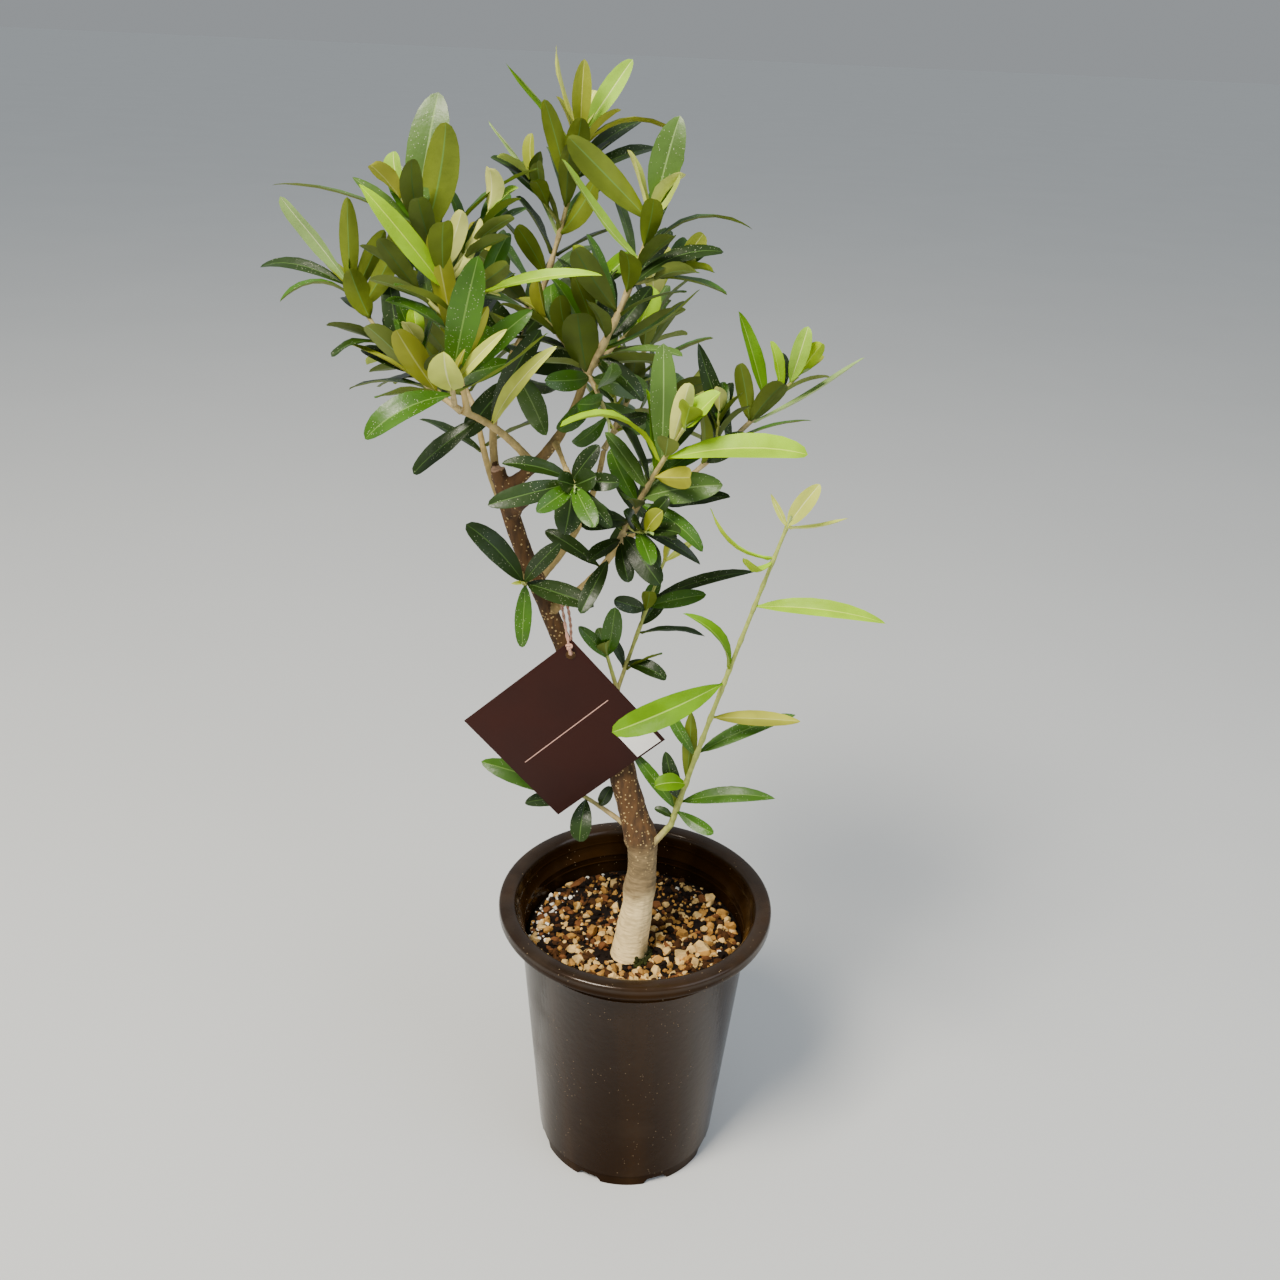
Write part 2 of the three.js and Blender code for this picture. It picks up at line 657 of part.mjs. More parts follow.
function leafPoints(blade) {
  const points = [];
  const { side } = crossFrame(blade.curve.getTangent(0.5), blade.normal);
  for (let i = 0; i <= SAMPLES_ALONG; i += 1) {
    const t = i / SAMPLES_ALONG;
    const half = 0.5 * blade.width * leafWidth(t);
    for (const across of SAMPLES_ACROSS) {
      points.push({ t, place: blade.curve.getPoint(t).addScaledVector(side, across * half) });
    }
  }
  return points;
}

function leafWidth(t) {
  const index = LEAF_RINGS.findIndex((ring, i) => t <= LEAF_RINGS[i + 1]);
  const inner = (t - LEAF_RINGS[index]) / (LEAF_RINGS[index + 1] - LEAF_RINGS[index]);
  return mix(LEAF_WIDTHS[index], LEAF_WIDTHS[index + 1], inner);
}

function leavesClash(blade, other) {
  const own = blade.mass === other.mass;
  const limit = own ? CLEAR_OF_OWN : CLEAR_OF_OTHERS;
  if (blade.middle.distanceTo(other.middle) > blade.reach + other.reach + limit) {
    return false;
  }
  const from = own ? ROOT_SHARE : 0;
  const near = other.points.filter((point) => point.t >= from);
  return blade.points.some((point) => point.t >= from
    && near.some((rival) => rival.place.distanceToSquared(point.place) < limit * limit));
}

function shootClashes(blade, shoot) {
  const own = blade.mass === shoot.mass;
  return shoot.balls.some(({ place, radius }) => {
    if (blade.middle.distanceTo(place) > blade.reach + radius + CLEAR_OF_LIMBS) {
      return false;
    }
    const limit = radius + CLEAR_OF_LIMBS;
    return blade.points.some((point) => (!own || point.t >= ROOT_SHARE)
      && point.place.distanceToSquared(place) < limit * limit);
  });
}

// Leaves

function makeBlade(mass, shoot, share, direction, length, width, normal, arch) {
  const out = LEAF_ROOT_OUT * shoot.radiusAt(share);
  const root = shoot.curve.getPoint(share).addScaledVector(direction, out);
  const chord = direction.clone().multiplyScalar(length);
  const upper = normal.clone().addScaledVector(direction, -normal.dot(direction)).normalize();
  const curve = new Bowed(root, chord, upper.clone().multiplyScalar(arch));
  const blade = { mass, curve, length, width, normal: upper };
  blade.points = leafPoints(blade);
  blade.middle = curve.getPoint(0.5);
  blade.reach = 0.5 * length + 0.5 * width;
  return blade;
}

// A leaf's section is a flat triangle: two edges and a low ridge along the upper face

function bladeSolid(blade) {
  const edge = Math.sin((2 * Math.PI) / LEAF_SIDES);
  return bentSolid(blade.curve, LEAF_SIDES, LEAF_RINGS, (t) => ({
    wide: (0.5 * blade.width * leafWidth(t)) / edge,
    thick: t < 1 ? mix(LEAF_ROOT_RIDGE, LEAF_RIDGE, Math.min(1, 4 * t)) : 0,
    reference: blade.normal,
  }));
}

function chosenBlades(mass, shoot) {
  return (shoot.leaves ?? []).map((spec) => makeBlade(
    mass, shoot, spec.share, heading(spec.heading, spec.rise),
    spec.length, spec.width, vector(FACING[spec.facing]), spec.arch,
  ));
}

function ruledBlade(mass, shoot, share, turn, dice) {
  const tangent = shoot.curve.getTangent(share);
  const { side, face } = crossFrame(tangent, steadyReference(tangent));
  const angle = THREE.MathUtils.degToRad(turn);
  const outward = lean(side, face, angle);
  const [low, high] = shoot.spread ?? SPREAD;
  const spread = THREE.MathUtils.degToRad(mix(low, high, share) + SPREAD_SCATTER * (dice() - 0.5));
  const direction = lean(tangent, outward, spread).addScaledVector(UP, LIFT * dice()).normalize();
  const length = shoot.size[0] * mix(1, TIP_LEAF_SHARE, share ** 3) * mix(...LENGTH_SCATTER, dice());
  const width = shoot.size[1] * mix(...WIDTH_SCATTER, dice());
  const normal = tangent.clone().addScaledVector(UP, FACE_LIFT);
  const arch = length * mix(...ARCH_SHARES, dice());
  return makeBlade(mass, shoot, share, direction, length, width, normal, arch);
}

function growRuledBlades(mass, shoot, standing) {
  const dice = makeDice(shoot.seed);
  const first = shoot.from ?? FIRST_PAIR;
  const last = shoot.to ?? 1;
  for (let pair = 0; pair < shoot.pairs; pair += 1) {
    const share = mix(first, last, shoot.pairs > 1 ? pair / (shoot.pairs - 1) : 1);
    const base = PAIR_TURN * (pair % 2) + TURN_SCATTER * dice();
    for (const half of [0, 180]) {
      for (const shift of SHARE_OF_TURNS) {
        const blade = ruledBlade(mass, shoot, share, base + half + shift, dice);
        if (isFree(blade, standing)) {
          standing.blades.push(blade);
          break;
        }
      }
    }
  }
}

function isFree(blade, standing, others = false) {
  const rivals = (thing) => !others || thing.mass !== blade.mass;
  return !standing.limbs.some((limb) => rivals(limb) && shootClashes(blade, limb))
    && !standing.blades.some((other) => rivals(other) && leavesClash(blade, other));
}

// Shoots and side twigs

function growShoots(name, mass, limbs) {
  const shoots = [];
  for (const spec of mass.shoots) {
    let start = mass.trunk ? vector(mass.trunk) : null;
    if (spec.on) {
      start = shoots.find((shoot) => shoot.name === spec.on).curve.getPoint(spec.share);
    } else if (mass.bough) {
      const { curve } = limbs[mass.bough];
      start = curve.getPoint(1).addScaledVector(curve.getTangent(1), GAP);
    }
    shoots.push({ ...spec, curve: bowedLimb(spec, start), radiusAt: taperedRadius(spec.radius) });
  }
  for (const shoot of [...shoots]) {
    shoots.push(...growTwigs(shoot));
  }
  return shoots.map((shoot) => ({ ...shoot, mass: name, balls: limbBalls(shoot.curve, shoot.radiusAt) }));
}

function growTwigs(shoot) {
  const count = shoot.twigs ?? 0;
  const dice = makeDice(SEED + shoot.reach[2] + count);
  const twigs = [];
  for (let i = 0; i < count; i += 1) {
    const share = mix(...TWIG_SHARES, (i + 0.5 * dice()) / count);
    const tangent = shoot.curve.getTangent(share);
    const { side, face } = crossFrame(tangent, steadyReference(tangent));
    const turn = THREE.MathUtils.degToRad(shoot.twigTurn + GOLDEN_TURN * i);
    const outward = lean(side, face, turn);
    const angle = THREE.MathUtils.degToRad(TWIG_ANGLE);
    const direction = lean(tangent, outward, angle);
    const length = mix(...TWIG_LENGTHS, dice());
    const bow = UP.clone().multiplyScalar(-TWIG_SAG * length);
    twigs.push({
      name: `${shoot.name}_${i}`,
      curve: new Bowed(shoot.curve.getPoint(share), direction.multiplyScalar(length), bow),
      radius: TWIG_RADIUS,
      radiusAt: taperedRadius(TWIG_RADIUS),
      reach: [0, 0, length],
      pairs: TWIG_PAIRS,
      from: TWIG_FIRST_PAIR,
      size: shoot.size.map((value) => TWIG_LEAF_SHARE * value),
    });
  }
  return twigs;
}

function shootSolid(shoot) {
  const steps = Math.max(2, Math.ceil(shoot.curve.getLength() / TWIG_STEP));
  return limbSolid(shoot.curve, shoot.radiusAt, TWIG_SIDES, steps);
}

// The crown: every shoot first, then the chosen leaves, then the rest by the rule where there is room

function growCrown(limbs, obstacles) {
  const shoots = Object.entries(MASSES).flatMap(([name, mass]) => growShoots(name, mass, limbs));
  shoots.forEach((shoot, index) => {
    shoot.seed = SEED * SEEDS_APART + index * SEED_STEP;
  });
  const standing = { limbs: [...obstacles, ...shoots], blades: [] };
  for (const shoot of shoots) {
    for (const blade of chosenBlades(shoot.mass, shoot)) {
      if (isFree(blade, standing, true)) {
        standing.blades.push(blade);
      }
    }
  }
  for (const shoot of shoots) {
    growRuledBlades(shoot.mass, shoot, standing);
  }
  return { shoots, blades: standing.blades };
}

function buildMass(name, crown, cutters) {
  const parts = crown.shoots.filter((shoot) => shoot.mass === name).map(shootSolid);
  parts.push(...crown.blades.filter((blade) => blade.mass === name).map(bladeSolid));
  const whole = cutters.reduce((solid, cutter) => solid.subtract(cutter), weld(parts));
  return largestBody(whole);
}

// Pot

function outerRadius(height) {
  const share = (height - FOOT_HEIGHT) / (RIM_HEIGHT - LIP_DEPTH - FOOT_HEIGHT);
  return mix(FOOT_RADIUS + FOOT_STEP, NECK_RADIUS, share);
}

function innerRadius(height) {
  return outerRadius(height) - WALL;
}

function potProfile() {
  const lipFoot = RIM_HEIGHT - LIP_DEPTH;
  const ringInner = FOOT_RADIUS - FOOT_RING_WIDTH;
  const ribFoot = lipFoot - NECK_RIB_DROP;
  const floorTop = FLOOR_HEIGHT + FLOOR_THICK;
  const outline = [
    [0, 0], [BOSS_RADIUS, 0], [BOSS_RADIUS + BOSS_SLOPE, FLOOR_HEIGHT], [ringInner, FLOOR_HEIGHT],
    [ringInner, 0], [FOOT_RADIUS, 0],
    [FOOT_RADIUS, FOOT_HEIGHT - FOOT_CHAMFER], [outerRadius(FOOT_HEIGHT), FOOT_HEIGHT],
    [outerRadius(ribFoot), ribFoot], [outerRadius(ribFoot) + NECK_RIB, ribFoot + NECK_RIB],
    [outerRadius(lipFoot) + NECK_RIB, lipFoot],
    [RIM_RADIUS - LIP_LOW_ROUND.across, lipFoot], [RIM_RADIUS, lipFoot + LIP_LOW_ROUND.up],
    ...LIP_TOP_ROUND.map(({ across, down }) => [RIM_RADIUS - across, RIM_HEIGHT - down]),
    ...LIP_INNER_ROUND.map(({ across, down }) => [LIP_INNER_RADIUS + across, RIM_HEIGHT - down]),
    [LIP_INNER_RADIUS - LIP_INNER_STEP.across, lipFoot - LIP_INNER_STEP.down],
    [innerRadius(ribFoot), ribFoot],
    [innerRadius(FOOT_HEIGHT), FOOT_HEIGHT], [FOOT_RADIUS - WALL, floorTop],
    [BOSS_RADIUS + WALL, floorTop], [BOSS_RADIUS - FOOT_CHAMFER, FLOOR_THICK], [0, FLOOR_THICK],
  ];
  return outline.map(([radius, height]) => new THREE.Vector2(radius, height));
}

function latheSolid(profile, sides) {
  return toSolid(new THREE.LatheGeometry(profile, sides).rotateX(Math.PI / 2));
}

function around(count, shift, build) {
  return Array.from({ length: count }, (_, i) => build(((i + shift) / count) * 2 * Math.PI));
}

function buildPot() {
  const notches = around(NOTCH_COUNT, 0.5, (angle) => toSolid(
    new THREE.BoxGeometry(3 * FOOT_RING_WIDTH, NOTCH_WIDTH, 2 * NOTCH_HEIGHT)
      .translate(FOOT_RADIUS - 0.5 * FOOT_RING_WIDTH, 0, 0).rotateZ(angle),
  ));
  const drains = around(DRAIN_COUNT, 0, (angle) => toSolid(
    new THREE.CylinderGeometry(DRAIN_RADIUS, DRAIN_RADIUS, 4 * FLOOR_HEIGHT, DRAIN_SIDES)
      .rotateX(Math.PI / 2).translate(DRAIN_CIRCLE, 0, FLOOR_HEIGHT).rotateZ(angle),
  ));
  const shell = latheSolid(potProfile(), POT_SIDES);
  return [...notches, ...drains].reduce((pot, cutter) => pot.subtract(cutter), shell);
}

// Soil: a plug that fills the pot to the grains' level, with loose grains half sunk in its top

function buildSoil() {
  const low = FLOOR_HEIGHT + FLOOR_THICK + GAP;
  const level = SOIL_TOP - GAP;
  const plug = latheSolid([
    [0, low], [FOOT_RADIUS - WALL - 3 * GAP, low],
    [innerRadius(FOOT_HEIGHT) - 2 * GAP, FOOT_HEIGHT + FOOT_CHAMFER],
    [innerRadius(level) - 2 * GAP, level - SOIL_EDGE_DROP],
    [innerRadius(level) - SOIL_EDGE_WIDTH, level], [0, level],
  ].map(([radius, height]) => new THREE.Vector2(radius, height)), POT_SIDES);
  return largestBody(weld([plug, ...looseGrains(level)]));
}

function looseGrains(level) {
  const dice = makeDice(SEED);
  const foot = vector(TRUNK_BENDS[1].at);
  const clearOfTrunk = TRUNK_BENDS[1].radius + GRAIN_OFF_TRUNK;
  const grains = [];
  while (grains.length < GRAIN_COUNT) {
    const radius = (innerRadius(level) - GRAIN_OFF_WALL) * Math.sqrt(dice());
    const angle = 2 * Math.PI * dice();
    const size = mix(...GRAIN_SIZES, dice() ** 2);
    const place = new THREE.Vector3(radius * Math.cos(angle), radius * Math.sin(angle), level);
    const turn = dice();
    if (Math.hypot(place.x - foot.x, place.y - foot.y) > clearOfTrunk + size) {
      const grain = new THREE.OctahedronGeometry(size).scale(1, 1, SOIL_RISE / size);
      grain.rotateZ(2 * Math.PI * turn).rotateX(GRAIN_TILT * (turn - 0.5));
      grains.push(toSolid(grain.translate(...place.toArray())));
    }
  }
  return grains;
}

// Tag: a square card on its corner, with a hole near the top corner

function tagHole() {
  const inset = TAG_SIDE / Math.SQRT2 - TAG_HOLE_INSET;
  const angle = THREE.MathUtils.degToRad(TAG_TURN + 45);
  return new THREE.Vector3(inset * Math.cos(angle), 0, inset * Math.sin(angle)).add(vector(TAG_CENTRE));
}

function buildTag() {
  const card = toSolid(new THREE.BoxGeometry(TAG_SIDE, TAG_THICK, TAG_SIDE)
    .rotateY(-THREE.MathUtils.degToRad(TAG_TURN)).translate(...TAG_CENTRE));
  const hole = new THREE.CylinderGeometry(TAG_HOLE_RADIUS, TAG_HOLE_RADIUS, 6 * TAG_THICK, TAG_HOLE_SIDES);
  return card.subtract(toSolid(hole.translate(...tagHole().toArray())));
}

// Cord: a loop through the hole and over the foot of a bough, closed by a knot above the hole

function buildCord(limb) {
  const hole = tagHole();
  const inHole = hole.clone().addScaledVector(UP, CORD_IN_HOLE);
  const knot = hole.clone().add(vector(KNOT_AT));
  const sling = slingPoints(limb);
  const behind = inHole.clone().add(vector(CORD_BEHIND_TAG));
  const before = inHole.clone().add(vector(CORD_BEFORE_TAG));
  const down = behind.clone().lerp(sling.at(-1), CORD_DOWN_SHARE).add(vector(CORD_DOWN_SHIFT));
  const route = new THREE.CatmullRomCurve3([knot, ...sling, down, behind, inHole, before, knot]);
  const circle = new THREE.Path().absarc(0, 0, CORD_RADIUS, 0, 2 * Math.PI);
  const section = new THREE.Shape(circle.getPoints(CORD_SIDES / 2));
  const options = { extrudePath: route, steps: CORD_STEPS, bevelEnabled: false, curveSegments: CORD_SIDES };
  const strand = toSolid(new THREE.ExtrudeGeometry(section, options));
  const ball = new THREE.SphereGeometry(KNOT_RADIUS, CORD_SIDES, KNOT_RINGS).translate(...knot.toArray());
  return strand.add(toSolid(ball));
}

function slingPoints(limb) {
  const centre = limb.curve.getPoint(CORD_SHARE);
  const { side, face } = crossFrame(limb.curve.getTangent(CORD_SHARE), new THREE.Vector3(0, -1, 0));
  const ring = limb.radiusAt(CORD_SHARE) + CORD_RADIUS + 1.5 * GAP;
  const turn = Math.sign(side.x) || 1;
  return CORD_SLING_DEGREES.map((degrees) => {
    const angle = THREE.MathUtils.degToRad(degrees);
    const point = centre.clone().addScaledVector(face, ring * Math.cos(angle));
    return point.addScaledVector(side, -turn * ring * Math.sin(angle));
  });
}

// Assembly

const FINISHES = {
  pot: { color: 0x2b2118, roughness: 0.35, metalness: 0 },
  soil: { color: 0x8a6238, roughness: 0.95, metalness: 0 },
  trunk: { color: 0x8d7a62, roughness: 0.85, metalness: 0 },
  bough: { color: 0xa08c6a, roughness: 0.8, metalness: 0 },
  foliage: { color: 0x4b6b28, roughness: 0.5, metalness: 0 },
  tag: { color: 0x3a1a12, roughness: 0.6, metalness: 0 },
  cord: { color: 0xd9a58f, roughness: 0.8, metalness: 0 },
};

function namedMesh(name, solid, finish) {
  const mesh = new THREE.Mesh(toGeometry(solid), new THREE.MeshStandardMaterial(FINISHES[finish]));
  mesh.name = name;
  return mesh;
}

function boughBalls({ curve, radiusAt }) {
  return limbBalls(curve, radiusAt, BOUGH_SHARE_TO_CLEAR);
}

const tree = new THREE.Group();
const trunk = trunkCurve();
const limbs = growBoughs();
const fatTrunk = buildTrunk(GAP);
const obstacles = [
  { mass: 'trunk', balls: limbBalls(trunk, trunkRadius) },
  ...Object.values(limbs).map((limb) => ({ mass: 'boughs', balls: boughBalls(limb) })),
];
const crown = growCrown(limbs, obstacles);
const fatBoughs = Object.values(limbs).map((limb) => (
  limbSolid(limb.curve, (t) => limb.radiusAt(t) + GAP, BOUGH_SIDES, BOUGH_STEPS)));

tree.add(namedMesh('pot', buildPot(), 'pot'));
tree.add(namedMesh('soil', buildSoil(), 'soil'));
tree.add(namedMesh('trunk', buildTrunk(0), 'trunk'));
for (const [name, limb] of Object.entries(limbs)) {
  tree.add(namedMesh(name, buildBough(limb, fatTrunk, limbs), 'bough'));
}
for (const name of Object.keys(MASSES)) {
  tree.add(namedMesh(name, buildMass(name, crown, [fatTrunk, ...fatBoughs]), 'foliage'));
}
tree.add(namedMesh('tag_card', buildTag(), 'tag'));
tree.add(namedMesh('tag_cord', buildCord(limbs[CORD_CARRIER]), 'cord'));

export default tree;
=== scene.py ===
"""A young olive tree in a round nursery pot, with a blank square tag that hangs from it by a cord."""

import logging
import math
from collections.abc import Callable, Sequence
from dataclasses import dataclass, field
from enum import Enum

import bmesh
import bpy
import numpy as np
from bmesh.types import BMEdge, BMesh, BMFace, BMVert
from bpy.types import Material, Mesh, Node, NodeSocket, NodeTree, Object
from mathutils import Matrix, Vector, noise


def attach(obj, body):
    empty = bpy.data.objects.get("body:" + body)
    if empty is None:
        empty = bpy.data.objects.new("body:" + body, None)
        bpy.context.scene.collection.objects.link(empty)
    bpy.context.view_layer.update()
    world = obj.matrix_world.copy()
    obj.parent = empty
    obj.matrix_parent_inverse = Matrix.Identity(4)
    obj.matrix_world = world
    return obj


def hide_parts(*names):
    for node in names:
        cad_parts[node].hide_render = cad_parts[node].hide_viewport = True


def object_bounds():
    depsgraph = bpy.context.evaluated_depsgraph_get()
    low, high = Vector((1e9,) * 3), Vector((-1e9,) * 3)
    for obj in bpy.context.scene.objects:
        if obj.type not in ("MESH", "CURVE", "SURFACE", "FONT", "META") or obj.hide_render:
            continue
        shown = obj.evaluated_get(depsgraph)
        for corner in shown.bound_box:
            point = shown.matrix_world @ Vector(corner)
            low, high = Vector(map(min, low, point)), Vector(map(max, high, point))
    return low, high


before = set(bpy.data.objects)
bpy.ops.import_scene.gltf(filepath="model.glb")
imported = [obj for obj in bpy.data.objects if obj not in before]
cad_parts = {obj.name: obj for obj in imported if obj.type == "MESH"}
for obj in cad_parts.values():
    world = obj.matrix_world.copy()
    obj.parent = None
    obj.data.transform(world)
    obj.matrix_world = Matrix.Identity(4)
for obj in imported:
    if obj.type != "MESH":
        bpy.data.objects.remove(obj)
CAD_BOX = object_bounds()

LOG = logging.getLogger("olive")
MM = 0.001
SEED = 20
WORD = 0xFFFFFFFF
UP = Vector((0, 0, 1))
AWAY = Vector((0, 1, 0))
Pair = tuple[float, float]
Triple = tuple[float, float, float]
Shape = tuple[Mesh, np.ndarray]


# Numbers and small helpers


def mix(low: float, high: float, share: float) -> float:
    """Gives the value that lies a share of the way from low to high."""
    return low + (high - low) * share


def linear(code: str) -> tuple[float, float, float, float]:
    """Turns a colour of six hex digits, such as "a6d400", into linear light with full opacity."""
    parts = [int(code[i : i + 2], 16) / 255 for i in (0, 2, 4)]
    light = [part / 12.92 if part <= 0.04045 else ((part + 0.055) / 1.055) ** 2.4 for part in parts]
    return (*light, 1.0)


def shade(colour: Sequence[float], factor: float) -> tuple[float, float, float, float]:
    """Gives a lighter or darker copy of a linear colour."""
    return (*(min(1.0, part * factor) for part in colour[:3]), 1.0)


def heading(degrees: float, rise: float) -> Vector:
    """Gives the direction of a heading round +Z and a rise above level, both in degrees."""
    turn, lift = math.radians(degrees), math.radians(rise)
    return Vector((math.cos(lift) * math.cos(turn), math.cos(lift) * math.sin(turn), math.sin(lift)))


def even_shares(count: int) -> list[float]:
    """Gives the shares from 0 to 1 in so many even steps."""
    return [i / count for i in range(count + 1)]


def path_length(places: Sequence[Vector]) -> float:
    """Gives the length of the way through some places."""
    return sum((after - before).length for before, after in zip(places, places[1:]))


def around(side: Vector, face: Vector, angle: float) -> Vector:
    """Gives the direction at an angle in radians from side towards face."""
    return side * math.cos(angle) + face * math.sin(angle)


def cross_frame(tangent: Vector, reference: Vector) -> tuple[Vector, Vector]:
    """Gives a section's side and face directions, square to the tangent, the face near the reference."""
    side = tangent.cross(reference).normalized()
    return side, side.cross(tangent)


def steady_reference(direction: Vector) -> Vector:
    """Gives a reference that isn't along the direction."""
    return UP if abs(direction.z) < 0.8 else AWAY


class Dice:
    """Seeded numbers from 0 to 1, the same run each time."""

    def __init__(self, seed: float) -> None:
        """Starts the run from a seed."""
        self.state = int(seed) & WORD

    def roll(self) -> float:
        """Gives the next number from 0 to 1."""
        self.state = (self.state + 0x6D2B79F5) & WORD
        bits = ((self.state ^ (self.state >> 15)) * (self.state | 1)) & WORD
        bits = ((bits + (((bits ^ (bits >> 7)) * (bits | 61)) & WORD)) & WORD) ^ bits
        return (bits ^ (bits >> 14)) / 4294967296

    def between(self, low: float, high: float) -> float:
        """Gives the next number between low and high."""
        return mix(low, high, self.roll())

    def pick(self, options: Sequence) -> object:
        """Gives one of the options."""
        return options[min(int(self.roll() * len(options)), len(options) - 1)]


# Curves, in millimetres


@dataclass(frozen=True)
class Bowed:
    """A stretch that runs from start by reach, and stands off its chord by bow in the middle."""

    start: Vector
    reach: Vector
    bow: Vector
    samples = 8

    def point(self, t: float) -> Vector:
        """Gives the place at a share of the stretch."""
        return self.start + self.reach * t + self.bow * (4 * t * (1 - t))

    def tangent(self, t: float) -> Vector:
        """Gives the direction at a share of the stretch."""
        return (self.reach + self.bow * (4 - 8 * t)).normalized()

    def length(self) -> float:
        """Gives the length of the stretch."""
        return path_length([self.point(t) for t in even_shares(self.samples)])


@dataclass(frozen=True)
class Spine:
    """A smooth curve through places, each the same share of the way from the next."""

    places: tuple[Vector, ...]
    samples = 8
    tangent_step = 0.002

    def point(self, t: float) -> Vector:
        """Gives the place at a share of the curve."""
        last = len(self.places) - 1
        at = min(max(t, 0.0), 1.0) * last
        i = min(int(at), last - 1)
        s = at - i
        here, there = self.places[i], self.places[i + 1]
        before = self.places[i - 1] if i else here * 2 - there
        after = self.places[i + 2] if i + 2 <= last else there * 2 - here
        square, cube = s * s, s * s * s
        return 0.5 * (
            here * 2
            + (there - before) * s
            + (before * 2 - here * 5 + there * 4 - after) * square
            + (here * 3 - before - there * 3 + after) * cube
        )

    def tangent(self, t: float) -> Vector:
        """Gives the direction at a share of the curve."""
        step = self.tangent_step
        return (self.point(min(t + step, 1)) - self.point(max(t - step, 0))).normalized()

    def length(self) -> float:
        """Gives the length of the curve."""
        return path_length([self.point(t) for t in even_shares(self.samples * len(self.places))])


@dataclass(frozen=True)
class Limb:
    """A round limb: a curve with its radius along it."""

    name: str
    curve: Bowed | Spine
    radius: Callable[[float], float]
    ball_step = 3

    def balls(self, share: float = 1.0) -> list[tuple[Vector, float]]:
        """Gives the places and radii of a row of balls that fills a share of the limb, from its foot."""
        count = max(4, math.ceil(self.curve.length() / self.ball_step))
        steps = [i / count for i in range(count + 1) if i <= count * share]
        return [(self.curve.point(t), self.radius(t)) for t in steps]


def tapered(radii: Pair) -> Callable[[float], float]:
    """Gives the radius along a limb that tapers evenly from its foot to its tip."""
    return lambda t: mix(radii[0], radii[1], t)


# Materials


def math_method(operation: str, from_left: bool = False) -> Callable:
    """Gives the method of Number for one operator, with the other value on its right or from the left."""

    def method(self: "Number", other: "Number | float") -> "Number":
        """Adds the node and wraps its result."""
        first, second = (other, self) if from_left else (self, other)
        node = self.recipe.node("ShaderNodeMath", {"operation": operation}, {0: first, 1: second})
        return Number(self.recipe, node.outputs[0])

    return method


class Number:
    """A number inside a material, on which Python arithmetic adds Math nodes."""

    def __init__(self, recipe: "Sheet", socket: NodeSocket) -> None:
        """Wraps a socket of the recipe."""
        self.recipe = recipe
        self.socket = socket

    __add__, __radd__ = math_method("ADD"), math_method("ADD", from_left=True)
    __sub__, __rsub__ = math_method("SUBTRACT"), math_method("SUBTRACT", from_left=True)
    __mul__, __rmul__ = math_method("MULTIPLY"), math_method("MULTIPLY", from_left=True)
    __truediv__ = math_method("DIVIDE")
    __gt__, __lt__ = math_method("GREATER_THAN"), math_method("LESS_THAN")

    def ramp(self, low: float, high: float) -> "Number":
        """Gives 0 up to low, 1 from high on, and a smooth rise between them."""
        settings = {"interpolation_type": "SMOOTHSTEP"}
        inputs = {"Value": self, "From Min": low, "From Max": high}
        node = self.recipe.node("ShaderNodeMapRange", settings, inputs)
        return Number(self.recipe, node.outputs[0])


class Sheet:
    """A sheet of shader nodes."""

    def __init__(self, tree: NodeTree) -> None:
        """Starts on a node tree."""
        self.tree = tree

    def feed(self, socket: NodeSocket, value: object) -> None:
        """Sets a socket to a value, or links it to another socket."""
        if isinstance(value, Number):
            value = value.socket
        if isinstance(value, NodeSocket):
            self.tree.links.new(value, socket)
        else:
            socket.default_value = value

    def node(self, kind: str, settings: dict | None = None, inputs: dict | None = None) -> Node:
        """Adds a node.

        Args:
            kind: The node's type.
            settings: What is set on the node itself.
            inputs: Values or links for its sockets, by name or number.

        Returns:
            The node.
        """
        node = self.tree.nodes.new(kind)
        for key, value in (settings or {}).items():
            setattr(node, key, value)
        for key, value in (inputs or {}).items():
            self.feed(node.inputs[key], value)
        return node


